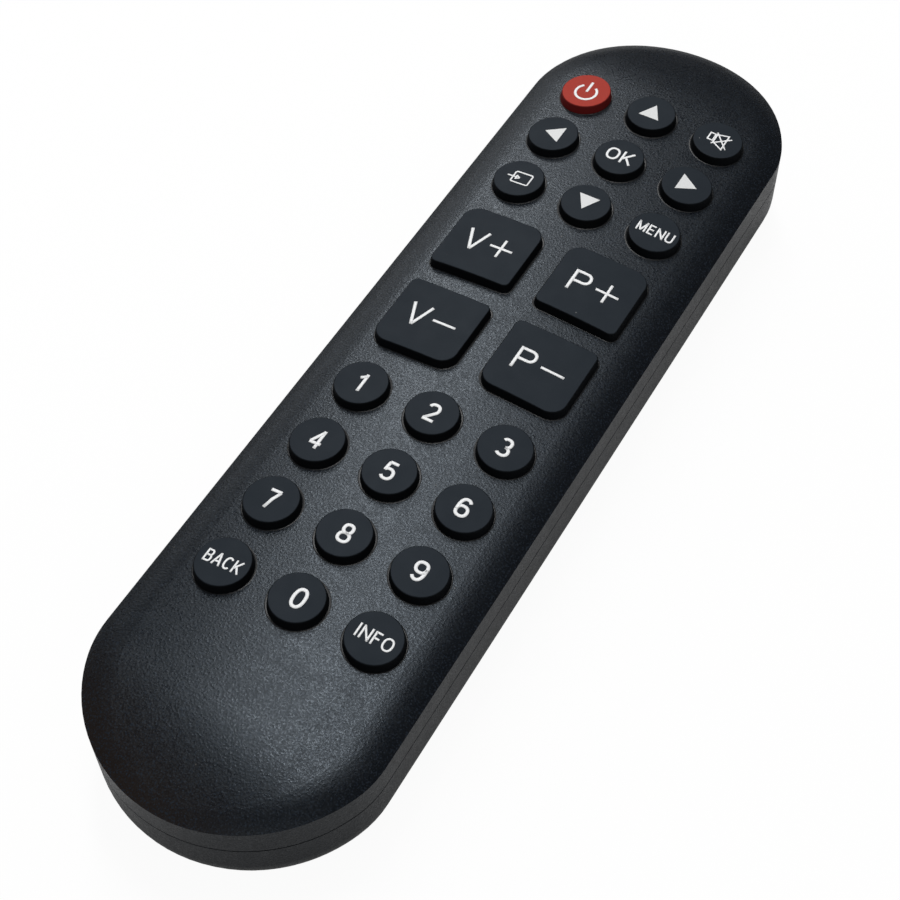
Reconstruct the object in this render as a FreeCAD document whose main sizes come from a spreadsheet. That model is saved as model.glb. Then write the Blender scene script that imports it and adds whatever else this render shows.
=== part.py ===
import FreeCAD, Part
import math
import os
import re
import Sketcher
from FreeCAD import Placement, Rotation, Vector

# A television remote control lying on its back.
# Frame: origin at the centre of the back face, +Y towards the infrared end, +X to the
# right as the keys are read, +Z up through the keys. Millimetres.

# Driving dimensions: name, value, meaning
sizes = [
    ("case_width", 51.5, "width across the case"),
    ("case_length", 189.0, "length of the case"),
    ("case_height", 20.8, "back face to the crown of the top case"),
    ("end_depth", 23.3, "length of each rounded end"),
    ("corner_radius", 18.0, "radius of the corners of the rounded ends"),
    ("wall", 1.8, "wall of both cases"),
    ("crown_radius", 175.0, "radius of the crown across the top case"),
    ("end_fall", 18.6, "length over which the crown falls away towards each end"),
    ("fall_radius", 61.0, "radius of that fall, along the case"),
    ("roll_radius", 14.0, "radius of the roll round the edge of the top case"),
    ("roll_side", 6.7, "how far the roll would run on past the side"),
    ("roll_end", 7.8, "how far the roll would run on past the end"),
    ("parting_height", 12.15, "height of the line between the two cases"),
    ("groove_height", 0.25, "height of the groove at the parting line"),
    ("groove_depth", 0.4, "depth of the groove at the parting line"),
    ("back_radius", 6.5, "radius round the edge of the back"),
    ("lip_thickness", 0.8, "thickness of the bottom case's lip"),
    ("lip_clearance", 0.1, "gap between the lip and the top case"),
    ("lip_end_gap", 0.2, "gap over the lip"),
    ("board_seat", 13.6, "height of the posts and of the lip"),
    ("board_thickness", 1.2, "thickness of the circuit board"),
    ("board_width", 41.0, "width of the circuit board"),
    ("board_inset", 15.5, "circuit board's front edge, from the front end"),
    ("board_margin", 6.8, "how far the board runs past the last row of keys"),
    ("mat_thickness", 1.0, "thickness of the keypad mat"),
    ("board_corner", 6.0, "radius of the board's corners"),
    ("mat_margin", 0.3, "how far the mat stays inside the board's edge"),
    ("web_height", 1.0, "height of the collapsing web under a key"),
    ("web_thickness", 0.5, "thickness of the collapsing web"),
    ("web_spread", 0.85, "how far the foot of the web lies outside its key"),
    ("column_pitch", 14.0, "pitch of the round keys across the case"),
    ("first_row", 24.47, "first row of keys, from the front end"),
    ("arrow_pitch", 13.73, "row pitch of the arrow keys"),
    ("block_drop", 17.75, "last row of arrow keys to the first row of large keys"),
    ("block_pitch", 20.54, "row pitch of the large keys"),
    ("block_spacing", 21.2, "distance between the two columns of large keys"),
    ("digit_drop", 17.83, "last row of large keys to the first row of digits"),
    ("digit_pitch", 13.88, "row pitch of the digit keys"),
    ("key_rise", 1.7, "key tops above the case"),
    ("key_draft", 0.45, "how much smaller a key is at its top, each side"),
    ("key_waist", 1.0, "where the draft begins, below the crown"),
    ("key_edge", 0.25, "radius round a key's top edge"),
    ("key_gap", 0.2, "gap round a key in its hole"),
    ("round_key", 10.2, "diameter of a round key below its draft"),
    ("large_key_width", 16.7, "width of a large key below its draft"),
    ("large_key_length", 16.15, "length of a large key below its draft"),
    ("large_key_outer", 3.35, "radius of a large key's corners away from its pair"),
    ("large_key_inner", 1.6, "radius of a large key's corners next to its pair"),
    ("key_travel", 1.0, "travel of a key"),
    ("pill_thickness", 0.35, "thickness of a carbon pill"),
    ("pill_diameter", 4.5, "diameter of a carbon pill"),
    ("travel_clearance", 0.05, "gap left under a pill at the end of its travel"),
    ("rib_thickness", 1.0, "thickness of the ribs that hold the mat down"),
    ("rib_overhang", 6.0, "how far a rib runs past the last key it serves"),
    ("screw_diameter", 2.6, "diameter of the case screws"),
    ("screw_length", 14.0, "length of a case screw under its head"),
    ("screw_head", 4.6, "diameter of a screw head"),
    ("screw_head_height", 1.4, "height of a screw head"),
    ("recess_length", 2.4, "length of the arms of the cross in a screw head"),
    ("recess_width", 0.6, "width of the arms of the cross in a screw head"),
    ("recess_depth", 0.7, "depth of the cross in a screw head"),
    ("screw_fit", 0.02, "gap between a screw and the thread cut for it"),
    ("screw_clearance", 0.15, "gap round a screw in the bottom case"),
    ("head_clearance", 0.3, "gap round a screw head in its counterbore"),
    ("front_screw_x", 12.0, "front screws, either side of the middle"),
    ("front_screw_inset", 11.0, "front screws, from the front end"),
    ("front_screw_seat", 2.6, "height at which the front screw heads seat"),
    ("rear_screw_x", 10.0, "rear screws, either side of the middle"),
    ("rear_screw_inset", 10.5, "rear screws, from the rear end"),
    ("boss_wall", 1.2, "wall of a screw boss round its counterbore"),
    ("column_wall", 1.7, "wall of the top case's screw columns"),
    ("thread_depth", 4.2, "depth of the thread in the top case"),
    ("post_x", 18.0, "board posts, either side of the middle"),
    ("post_inset", 16.5, "posts, from the board's front and rear edges"),
    ("post_diameter", 4.4, "diameter of a post"),
    ("pin_diameter", 1.6, "diameter of the locating pin on a post"),
    ("pin_clearance", 0.1, "gap round a locating pin"),
    ("cell_diameter", 10.5, "diameter of an AAA cell"),
    ("cell_length", 44.5, "length of an AAA cell with its nub"),
    ("nub_diameter", 3.8, "diameter of a cell's nub"),
    ("nub_length", 0.8, "length of a cell's nub"),
    ("cell_edge", 0.5, "radius round the ends of a cell"),
    ("cell_spacing", 11.1, "distance between the two cells' centres"),
    ("cell_floor", 1.95, "height of the underside of the cells"),
    ("bay_inset", 21.1, "back of the battery bay, from the rear end"),
    ("bay_gap", 0.35, "gap between a cell and the side of the bay"),
    ("bay_wall", 1.2, "wall of the battery bay"),
    ("bay_roof", 0.9, "thickness of the roof of the battery bay"),
    ("roof_gap", 0.15, "gap between the cells and the roof"),
    ("spring_length", 4.6, "length of a contact spring, compressed"),
    ("spring_wide", 7.6, "diameter of a contact spring at its plate"),
    ("spring_narrow", 4.6, "diameter of a contact spring at the cell"),
    ("spring_wire", 0.6, "diameter of the spring wire"),
    ("plate_thickness", 0.4, "thickness of a contact plate"),
    ("plate_width", 8.4, "width of a contact plate"),
    ("plate_height", 8.0, "height of a contact plate"),
    ("tail_width", 2.4, "width of the tail from a plate to the board"),
    ("tail_gap", 0.3, "gap round a tail in the roof of the bay"),
    ("door_width", 34.0, "width of the battery door's panel"),
    ("door_reach", 3.5, "how far the battery door runs past the bay"),
    ("door_recess", 0.1, "how far the door lies above the back face"),
    ("door_lap", 0.95, "height at which the door's flanges begin"),
    ("door_inner", 1.75, "height of the inner face of the door"),
    ("door_gap", 0.15, "gap round the battery door"),
    ("flange_width", 1.2, "width of the flange along each side of the door"),
    ("tab_width", 10.0, "width of the tab at the front of the door"),
    ("tab_length", 2.5, "length of the tab at the front of the door"),
    ("channel_roof", 1.5, "material over the door's channel"),
    ("channel_wall", 1.4, "material beside the door's channel"),
    ("grip_count", 6, "number of grip grooves on the door"),
    ("grip_length", 14.0, "length of a grip groove"),
    ("grip_width", 0.9, "width of a grip groove"),
    ("grip_pitch", 1.9, "pitch of the grip grooves"),
    ("grip_depth", 0.45, "depth of a grip groove"),
    ("grip_inset", 5.5, "first grip groove, from the door's front edge"),
    ("label_width", 30.0, "width of the bare panel on the back"),
    ("label_length", 42.0, "length of the bare panel on the back"),
    ("label_depth", 0.2, "depth of the bare panel on the back"),
    ("label_centre", 30.0, "centre of the bare panel, ahead of the origin"),
    ("led_diameter", 5.0, "diameter of the infrared LED"),
    ("led_length", 6.2, "length of the LED's straight body"),
    ("led_flange", 5.8, "diameter of the LED's flange"),
    ("led_flange_length", 1.0, "length of the LED's flange"),
    ("led_recess", 0.4, "how far the LED's tip lies inside the end"),
    ("led_gap", 0.1, "gap round the LED in its hole and in its saddle"),
    ("lead_spacing", 2.54, "distance between the LED's leads"),
    ("lead_width", 0.5, "width of an LED lead"),
    ("lead_run", 8.5, "how far the leads run back under the board"),
    ("chip_length", 10.0, "length of the controller chip"),
    ("chip_width", 4.0, "width of the controller chip"),
    ("chip_height", 1.6, "height of the controller chip"),
    ("chip_inset", 45.0, "controller chip, behind the board's front edge"),
    ("chip_leads", 8, "number of leads along each side of the chip"),
    ("chip_lead", 1.0, "how far a chip lead reaches out"),
    ("chip_lead_thickness", 0.4, "thickness of a chip lead"),
    ("chip_lead_width", 0.45, "width of a chip lead"),
    ("chip_lead_pitch", 1.27, "pitch of the chip leads"),
    ("resonator_height", 5.0, "height of the resonator"),
    ("resonator_width", 6.5, "width of the resonator"),
    ("resonator_depth", 2.8, "depth of the resonator"),
    ("resonator_x", 9.0, "resonator, right of the middle"),
    ("resonator_inset", 33.0, "resonator, behind the board's front edge"),
    ("capacitor_diameter", 5.0, "diameter of the capacitor"),
    ("capacitor_height", 7.0, "height of the capacitor"),
    ("capacitor_x", 9.0, "capacitor, left of the middle"),
    ("capacitor_inset", 25.0, "capacitor, behind the board's front edge"),
    ("transistor_length", 2.9, "length of the transistor"),
    ("transistor_width", 1.3, "width of the transistor"),
    ("transistor_height", 1.0, "height of the transistor"),
    ("transistor_inset", 13.0, "transistor, behind the board's front edge"),
    ("resistor_count", 4, "number of resistors in the row"),
    ("resistor_length", 2.0, "length of a resistor"),
    ("resistor_width", 1.25, "width of a resistor"),
    ("resistor_height", 0.5, "height of a resistor"),
    ("resistor_pitch", 4.0, "pitch of the resistors"),
    ("resistor_inset", 19.0, "resistors, behind the board's front edge"),
    ("overcut", 1.0, "how far a cutting shape runs past what it opens"),
]

doc = FreeCAD.newDocument("remote_control")
sheet = doc.addObject("Spreadsheet::Sheet", "Sizes")
for row, (name, value, meaning) in enumerate(sizes, start=1):
    sheet.set(f"A{row}", name)
    sheet.set(f"B{row}", str(value))
    sheet.set(f"C{row}", meaning)
    sheet.setAlias(f"B{row}", name)
doc.recompute()

names = {name for name, value, meaning in sizes}
half_width = "case_width / 2"
half_length = "case_length / 2"
last_arrow = f"({half_length} - first_row - 2 * arrow_pitch)"
last_block = f"({last_arrow} - block_drop - block_pitch)"
last_digit = f"({last_block} - digit_drop - 3 * digit_pitch)"
board_front = f"({half_length} - board_inset)"
board_back = f"({last_digit} - board_margin)"
board_top = "(board_seat + board_thickness)"
mat_top = "(board_seat + board_thickness + mat_thickness)"
key_base = "(board_seat + board_thickness + mat_thickness + web_height)"
key_top = "(case_height + key_rise)"
waist = "(case_height - key_waist)"
fall_start = f"({half_length} - end_fall)"
lip_inset = "(wall - lip_thickness)"
cell_axis = "(cell_floor + cell_diameter / 2)"
bay_half = "((cell_spacing + cell_diameter) / 2 + bay_gap)"
bay_length = "(cell_length + spring_length + 2 * plate_thickness)"
bay_back = f"(bay_inset - {half_length})"
bay_front = f"({bay_back} + {bay_length})"
door_front = f"({bay_front} + door_reach)"
bay_top = "(cell_floor + cell_diameter + roof_gap)"
slot_top = "(door_inner + door_gap)"
led_centre = f"({half_length} - led_recess - led_diameter / 2)"
led_back = f"({led_centre} - led_length)"
rear_screw_seat = "(door_inner + door_gap + screw_head_height + door_recess)"


def bound(formula):
    # A formula in the sizes' names, as the document's own expression
    return re.sub(r"[a-z_]+", lambda found: "Sizes." + found.group() if found.group() in names
                  else found.group(), str(formula))


def number(formula):
    # The value that a formula has now
    return float(sheet.evalExpression(bound(formula)))


def bind(thing, path, formula):
    thing.setExpression(path, bound(formula))


def place(thing, x="0", y="0", z="0", turn=None):
    # Put a primitive at a place given by three formulas
    if turn is not None:
        thing.Placement = Placement(Vector(0, 0, 0), turn)
    bind(thing, "Placement.Base.x", x)
    bind(thing, "Placement.Base.y", y)
    bind(thing, "Placement.Base.z", z)
    return thing


def box(name, x, y, z):
    # A block between two formulas along each axis
    block = doc.addObject("Part::Box", name)
    for path, (low, high) in (("Length", x), ("Width", y), ("Height", z)):
        bind(block, path, f"({high}) - ({low})")
    return place(block, x[0], y[0], z[0])


def wide_box(name, width, y, z, x="0"):
    # A block centred on x
    return box(name, (f"({x}) - ({width}) / 2", f"({x}) + ({width}) / 2"), y, z)


def rod(name, diameter, x, y, low, high):
    # An upright cylinder
    cylinder = doc.addObject("Part::Cylinder", name)
    bind(cylinder, "Radius", f"({diameter}) / 2")
    bind(cylinder, "Height", f"({high}) - ({low})")
    return place(cylinder, x, y, low)


def long_rod(name, diameter, x, z, back, front):
    # A cylinder lying along the case
    cylinder = doc.addObject("Part::Cylinder", name)
    bind(cylinder, "Radius", f"({diameter}) / 2")
    bind(cylinder, "Height", f"({front}) - ({back})")
    return place(cylinder, x, back, z, Rotation(Vector(1, 0, 0), -90))


def taper(name, low_diameter, high_diameter, x, y, low, high):
    # An upright cone
    cone = doc.addObject("Part::Cone", name)
    bind(cone, "Radius1", f"({low_diameter}) / 2")
    bind(cone, "Radius2", f"({high_diameter}) / 2")
    bind(cone, "Height", f"({high}) - ({low})")
    return place(cone, x, y, low)


def cut(name, base, tool):
    result = doc.addObject("Part::Cut", name)
    result.Base = base
    result.Tool = tool
    return result


def common(name, base, tool):
    result = doc.addObject("Part::Common", name)
    result.Base = base
    result.Tool = tool
    return result


def fuse(name, shapes):
    result = doc.addObject("Part::MultiFuse", name)
    result.Shapes = shapes
    return result


def group(name, shapes):
    # Solids that share a node and stay separate
    result = doc.addObject("Part::Compound", name)
    result.Links = shapes
    return result


def plane(body, role):
    return next(item for item in body.Origin.OriginFeatures if item.Role == role)


def sketch_on(body, name, role="XY_Plane", x="0", y="0", z="0"):
    # A sketch on one of the body's own planes, moved by three formulas in the sketch's axes
    sketch = body.newObject("Sketcher::SketchObject", name)
    sketch.AttachmentSupport = [(plane(body, role), "")]
    sketch.MapMode = "FlatFace"
    bind(sketch, "AttachmentOffset.Base.x", x)
    bind(sketch, "AttachmentOffset.Base.y", y)
    bind(sketch, "AttachmentOffset.Base.z", z)
    return sketch


def dimension(sketch, kind, *where):
    # A dimension whose last item is a formula
    index = sketch.addConstraint(Sketcher.Constraint(kind, *where[:-1], number(where[-1])))
    bind(sketch, f"Constraints[{index}]", where[-1])


def constrain(sketch, kind, *where):
    sketch.addConstraint(Sketcher.Constraint(kind, *where))


def arc(centre, radius, start, end):
    circle = Part.Circle(Vector(*centre, 0), Vector(0, 0, 1), radius)
    return Part.ArcOfCircle(circle, math.radians(start), math.radians(end))


def join_round(sketch, first, count):
    # Make a ring of lines and arcs run smoothly into each other
    for step in range(count):
        constrain(sketch, "Tangent", first + step, 2, first + (step + 1) % count, 1)


def outline(sketch, inset, side="0", end="0"):
    # The case seen from above: straight sides and rounded ends, each end a flat arc between
    # two corner arcs. The whole outline lies inset inside the case, or spread past it.
    centre_x = f"{half_width} + {side} - (corner_radius + {end})"
    centre_y = f"{half_length} - end_depth"
    corner = f"corner_radius + {end} - ({inset})"
    depth_left = "(end_depth - corner_radius)"
    end_radius = f"{corner} + (({centre_x})^2 + {depth_left}^2) / (2 * {depth_left})"
    x, y, r = number(centre_x), number(centre_y), number(corner)
    big = number(end_radius)
    lean = math.degrees(math.acos(x / (big - r)))
    arc_y = y - (big - r) * math.sin(math.radians(lean))
    first = sketch.GeometryCount
    sketch.addGeometry([
        Part.LineSegment(Vector(x + r, -y, 0), Vector(x + r, y, 0)),
        arc((x, y), r, 0, lean),
        arc((0, arc_y), big, lean, 180 - lean),
        arc((-x, y), r, 180 - lean, 180),
        Part.LineSegment(Vector(-x - r, y, 0), Vector(-x - r, -y, 0)),
        arc((-x, -y), r, 180, 180 + lean),
        arc((0, -arc_y), big, 180 + lean, 360 - lean),
        arc((x, -y), r, 360 - lean, 360),
    ], False)
    join_round(sketch, first, 8)
    dimension(sketch, "DistanceX", -1, 1, first + 1, 3, centre_x)
    dimension(sketch, "DistanceY", -1, 1, first + 1, 3, centre_y)
    dimension(sketch, "Radius", first + 1, corner)
    constrain(sketch, "Symmetric", first + 1, 3, first + 3, 3, -2)
    constrain(sketch, "Symmetric", first + 1, 3, first + 7, 3, -1)
    constrain(sketch, "Symmetric", first + 3, 3, first + 5, 3, -1)
    for other in (3, 5, 7):
        constrain(sketch, "Equal", first + 1, first + other)
    dimension(sketch, "Radius", first + 2, end_radius)
    constrain(sketch, "Equal", first + 2, first + 6)


def pad(body, sketch, length, draft=None):
    feature = body.newObject("PartDesign::Pad", sketch.Name + "_pad")
    feature.Profile = sketch
    bind(feature, "Length", length)
    if draft is not None:
        bind(feature, "TaperAngle", draft)
    sketch.Visibility = False
    return feature


def new_body(name):
    return doc.addObject("PartDesign::Body", name)


def outline_block(name, inset, low, high, inner=None, side="0", end="0"):
    # The case's outline as a block, or as a ring when an inner inset is given
    body = new_body(name)
    sketch = sketch_on(body, name + "_outline", z=low)
    outline(sketch, inset, side, end)
    if inner is not None:
        outline(sketch, inner, side, end)
    pad(body, sketch, f"({high}) - ({low})")
    return body


def ring_edges(shape, faces):
    # Names of the edges round one face, or round several that run into each other
    own = [edge for face in faces for edge in face.Edges]
    return [f"Edge{index}" for index, edge in enumerate(shape.Edges, start=1)
            if sum(edge.isSame(other) for other in own) == 1]


def lean(face):
    # The share of +Z in a face's normal at its middle
    u_low, u_high, v_low, v_high = face.ParameterRange
    return face.normalAt((u_low + u_high) / 2, (v_low + v_high) / 2).z


def upper_faces(shape):
    # The faces that look more upwards than sideways
    return [face for face in shape.Faces if lean(face) > math.cos(math.radians(45))]


def crown_sketch(body, name, height, ahead="0", lift="0"):
    # All that lies over a crown that is as high as the formula says on the middle line. The
    # sketch stands ahead of the case's middle, its origin lifted from the crown's centre.
    sketch = sketch_on(body, name, "XZ_Plane", y=f"case_height - crown_radius + {lift}",
                       z=f"-({ahead})")
    radius = f"crown_radius + ({height}) - case_height"
    reach = f"{half_width} + roll_side + overcut"
    high = f"crown_radius + end_fall - {lift}"
    r, x, top, centre = number(radius), number(reach), number(high), -number(lift)
    angle = math.degrees(math.acos(x / r))
    low = centre + r * math.sin(math.radians(angle))
    sketch.addGeometry([
        arc((0, centre), r, angle, 180 - angle),
        Part.LineSegment(Vector(-x, low, 0), Vector(-x, top, 0)),
        Part.LineSegment(Vector(-x, top, 0), Vector(x, top, 0)),
        Part.LineSegment(Vector(x, top, 0), Vector(x, low, 0)),
    ], False)
    if centre == 0:
        constrain(sketch, "Coincident", 0, 3, -1, 1)
    else:
        constrain(sketch, "PointOnObject", 0, 3, -2)
        dimension(sketch, "DistanceY", 0, 3, -1, 1, lift)
    for first, second in ((0, 1), (1, 2), (2, 3)):
        constrain(sketch, "Coincident", first, 2, second, 1)
    constrain(sketch, "Coincident", 3, 2, 0, 1)
    constrain(sketch, "Vertical", 1)
    constrain(sketch, "Vertical", 3)
    constrain(sketch, "Symmetric", 1, 2, 3, 1, -2)
    dimension(sketch, "Radius", 0, radius)
    dimension(sketch, "DistanceX", -1, 1, 3, 1, reach)
    dimension(sketch, "DistanceY", -1, 1, 3, 1, high)
    return sketch


def crown_cut(body, name, height, length=None):
    # Cut the body down to the crown, all along or over a length about the middle
    pocket = body.newObject("PartDesign::Pocket", name + "_pocket")
    pocket.Profile = crown_sketch(body, name, height)
    pocket.SideType = "Symmetric"
    if length is None:
        pocket.Type = "ThroughAll"
    else:
        bind(pocket, "Length", length)
    pocket.Profile[0].Visibility = False
    doc.recompute()
    return pocket


def fall_cut(body, name, height, way):
    # From there on, let the crown fall away towards one end
    sketch = crown_sketch(body, name, height, f"{way} * {fall_start}",
                          "(crown_radius - fall_radius)")
    groove = body.newObject("PartDesign::Groove", name + "_groove")
    groove.Profile = sketch
    groove.ReferenceAxis = (sketch, ["H_Axis"])
    groove.Reversed = way > 0
    bind(groove, "Angle", "asin((end_fall + roll_end + overcut) / fall_radius)")
    sketch.Visibility = False
    doc.recompute()
    return groove


def lowest_face(shape):
    return min(shape.Faces, key=lambda face: face.CenterOfMass.z)


def round_edges(body, base, faces, radius):
    feature = body.newObject("PartDesign::Fillet", body.Name + "_round")
    feature.Base = (base, ring_edges(base.Shape, faces))
    bind(feature, "Radius", radius)
    doc.recompute()
    return feature


def dome(name, inset):
    # The top case's outside, or its inside when inset: a crown that falls away at both ends
    # and rolls over towards an outline spread past the case, so that the case's own outline
    # cuts it at a crisp rim.
    body = new_body(name)
    sketch = sketch_on(body, name + "_outline", z="-roll_radius")
    outline(sketch, inset, "roll_side", "roll_end")
    pad(body, sketch, "roll_radius + case_height")
    height = f"case_height - ({inset})"
    crown_cut(body, name + "_crown", height, f"2 * {fall_start}")
    fall_cut(body, name + "_rear_fall", height, -1)
    crowned = fall_cut(body, name + "_front_fall", height, 1)
    round_edges(body, crowned, upper_faces(crowned.Shape), f"roll_radius - ({inset})")
    return body


def tub(name, inset, low, high):
    # The bottom case's outside, or its inside when inset, with its rounded lower edge
    body = new_body(name)
    sketch = sketch_on(body, name + "_outline", z=low)
    outline(sketch, inset)
    block = pad(body, sketch, f"({high}) - ({low})")
    doc.recompute()
    round_edges(body, block, [lowest_face(block.Shape)], f"back_radius - ({inset})")
    return body


# Keys

def row_up(last, pitch, steps):
    # A row that lies some steps ahead of the last one of its block
    return f"({last} + {steps} * {pitch})"


key_names = [
    # a row's three columns from left to right, and its place
    (("key_power", "key_up", "key_mute"), row_up(last_arrow, "arrow_pitch", 2)),
    (("key_left", "key_ok", "key_right"), row_up(last_arrow, "arrow_pitch", 1)),
    (("key_source", "key_down", "key_menu"), last_arrow),
    (("key_1", "key_2", "key_3"), row_up(last_digit, "digit_pitch", 3)),
    (("key_4", "key_5", "key_6"), row_up(last_digit, "digit_pitch", 2)),
    (("key_7", "key_8", "key_9"), row_up(last_digit, "digit_pitch", 1)),
    (("key_back", "key_0", "key_info"), last_digit),
]
round_keys = [(name, column, row) for row_of_names, row in key_names
              for column, name in enumerate(row_of_names, start=-1)]
large_keys = [
    # node, side of the middle, and 1 for the front row or 0 for the rear one
    ("key_volume_up", -1, 1),
    ("key_volume_down", -1, 0),
    ("key_program_up", 1, 1),
    ("key_program_down", 1, 0),
]


def key_column(side):
    return f"{side} * column_pitch"


def block_x(side):
    return f"{side} * block_spacing / 2"


def block_y(row):
    return row_up(last_block, "block_pitch", row)


def disc_sketch(body, name, diameter, x, y, z):
    sketch = sketch_on(body, name, x=x, y=y, z=z)
    sketch.addGeometry(Part.Circle(Vector(0, 0, 0), Vector(0, 0, 1), number(diameter) / 2), False)
    constrain(sketch, "Coincident", 0, 3, -1, 1)
    dimension(sketch, "Diameter", 0, diameter)
    return sketch


def plate_outline(sketch, width, length, far_radius, near_radius):
    # A rectangle about the sketch's origin with one radius at its far corners and one at
    # its near corners
    w, l = number(width) / 2, number(length) / 2
    far, near = number(far_radius), number(near_radius)
    first = sketch.GeometryCount
    sketch.addGeometry([
        Part.LineSegment(Vector(w, near - l, 0), Vector(w, l - far, 0)),
        arc((w - far, l - far), far, 0, 90),
        Part.LineSegment(Vector(w - far, l, 0), Vector(far - w, l, 0)),
        arc((far - w, l - far), far, 90, 180),
        Part.LineSegment(Vector(-w, l - far, 0), Vector(-w, near - l, 0)),
        arc((near - w, near - l), near, 180, 270),
        Part.LineSegment(Vector(near - w, -l, 0), Vector(w - near, -l, 0)),
        arc((w - near, near - l), near, 270, 360),
    ], False)
    join_round(sketch, first, 8)
    for side in (0, 4):
        constrain(sketch, "Vertical", first + side)
    for side in (2, 6):
        constrain(sketch, "Horizontal", first + side)
    constrain(sketch, "Equal", first + 1, first + 3)
    constrain(sketch, "Equal", first + 5, first + 7)
    dimension(sketch, "Radius", first + 1, far_radius)
    dimension(sketch, "Radius", first + 5, near_radius)
    dimension(sketch, "DistanceX", -1, 1, first, 1, f"({width}) / 2")
    dimension(sketch, "DistanceX", first + 4, 1, -1, 1, f"({width}) / 2")
    dimension(sketch, "DistanceY", -1, 1, first + 2, 1, f"({length}) / 2")
    dimension(sketch, "DistanceY", first + 6, 1, -1, 1, f"({length}) / 2")


def large_sketch(body, name, side, row, grow, z):
    # A large key's outline, grown by a formula all round
    far, near = f"large_key_outer + {grow}", f"large_key_inner + {grow}"
    sketch = sketch_on(body, name, x=block_x(side), y=block_y(row), z=z)
    plate_outline(sketch, f"large_key_width + 2 * ({grow})", f"large_key_length + 2 * ({grow})",
                  far if row > 0 else near, near if row > 0 else far)
    return sketch


key_draft_height = f"({key_top} - {waist})"
draft_angle = f"atan(key_draft / {key_draft_height})"


def finish_key(body, name, x, y):
    # Trim the top to the crown, round its edge and hang the carbon pill under it
    crowned = crown_cut(body, name + "_crown", key_top)
    round_edges(body, crowned, upper_faces(crowned.Shape), "key_edge")
    pill_low = f"({board_top} + key_travel + travel_clearance)"
    stem_low = f"({pill_low} + pill_thickness)"
    stem = body.newObject("PartDesign::Pad", name + "_stem_pad")
    stem.Profile = disc_sketch(body, name + "_stem", "pill_diameter", x, y, stem_low)
    bind(stem, "Length", f"{key_base} - {stem_low}")
    stem.Profile[0].Visibility = False
    pill = rod(name + "_pill", "pill_diameter", x, y, pill_low, stem_low)
    return group(name, [body, pill])


def round_key(name, column, row):
    body = new_body(name + "_cap")
    x, y = key_column(column), row
    pad(body, disc_sketch(body, name + "_base", "round_key", x, y, key_base), f"{waist} - {key_base}")
    pad(body, disc_sketch(body, name + "_head", "round_key", x, y, waist), key_draft_height,
        f"-{draft_angle}")
    return finish_key(body, name, x, y)


def large_key(name, side, row):
    body = new_body(name + "_cap")
    x, y = block_x(side), block_y(row)
    pad(body, large_sketch(body, name + "_base", side, row, "0", key_base), f"{waist} - {key_base}")
    pad(body, large_sketch(body, name + "_head", side, row, "0", waist), key_draft_height,
        f"-{draft_angle}")
    return finish_key(body, name, x, y)


def key_stack(prefix, grow, low, high, head_grow=None):
    # One solid under every key, wider than the key by grow all round. With a second value
    # it narrows or widens to that at its upper end.
    stack = []
    for name, column, row in round_keys:
        where = key_column(column), row, low, high
        foot = f"round_key + 2 * ({grow})"
        if head_grow is None:
            stack.append(rod(f"{prefix}_{name}", foot, *where))
        else:
            stack.append(taper(f"{prefix}_{name}", foot, f"round_key + 2 * ({head_grow})", *where))
    for name, side, row in large_keys:
        body = new_body(f"{prefix}_{name}")
        draft = None
        if head_grow is not None:
            draft = f"atan((({head_grow}) - ({grow})) / (({high}) - ({low})))"
        pad(body, large_sketch(body, f"{prefix}_{name}_outline", side, row, grow, low),
            f"({high}) - ({low})", draft)
        stack.append(body)
    return stack


parts = []


def part(thing):
    # A finished sub-part: its label is its node
    parts.append(thing)
    return thing


for name, column, row in round_keys:
    part(round_key(name, column, row))
for name, side, row in large_keys:
    part(large_key(name, side, row))


# Screws and posts, whose places both cases share

front_screws = f"({half_length} - front_screw_inset)"
rear_screws = f"(rear_screw_inset - {half_length})"
front_posts, rear_posts = f"({board_front} - post_inset)", f"({board_back} + post_inset)"
screws = [
    # x, y, height at which the head seats
    ("front_screw_x", front_screws, "front_screw_seat"),
    ("-front_screw_x", front_screws, "front_screw_seat"),
    ("rear_screw_x", rear_screws, rear_screw_seat),
    ("-rear_screw_x", rear_screws, rear_screw_seat),
]
posts = [(side + "post_x", row)
         for row in (front_posts, f"(({front_posts} + {rear_posts}) / 2)", rear_posts)
         for side in ("", "-")]


# Top case

def mat_ribs():
    # Ribs between the keys, from the roof down to the mat
    low, high = mat_top, "case_height"
    ribs = []
    for side in (-1, 1):
        middle = f"{side} * column_pitch / 2"
        ribs.append(wide_box(f"arrow_rib_{side}", "rib_thickness",
                             (f"{last_arrow} - rib_overhang",
                              f"{last_arrow} + 2 * arrow_pitch + rib_overhang"),
                             (low, high), middle))
        ribs.append(wide_box(f"digit_rib_{side}", "rib_thickness",
                             (f"{last_digit} - rib_overhang",
                              f"{last_digit} + 3 * digit_pitch + rib_overhang"),
                             (low, high), middle))
    ribs.append(wide_box("block_rib", "rib_thickness",
                         (f"{last_block} - rib_overhang",
                          f"{last_block} + block_pitch + rib_overhang"), (low, high)))
    return ribs


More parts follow.
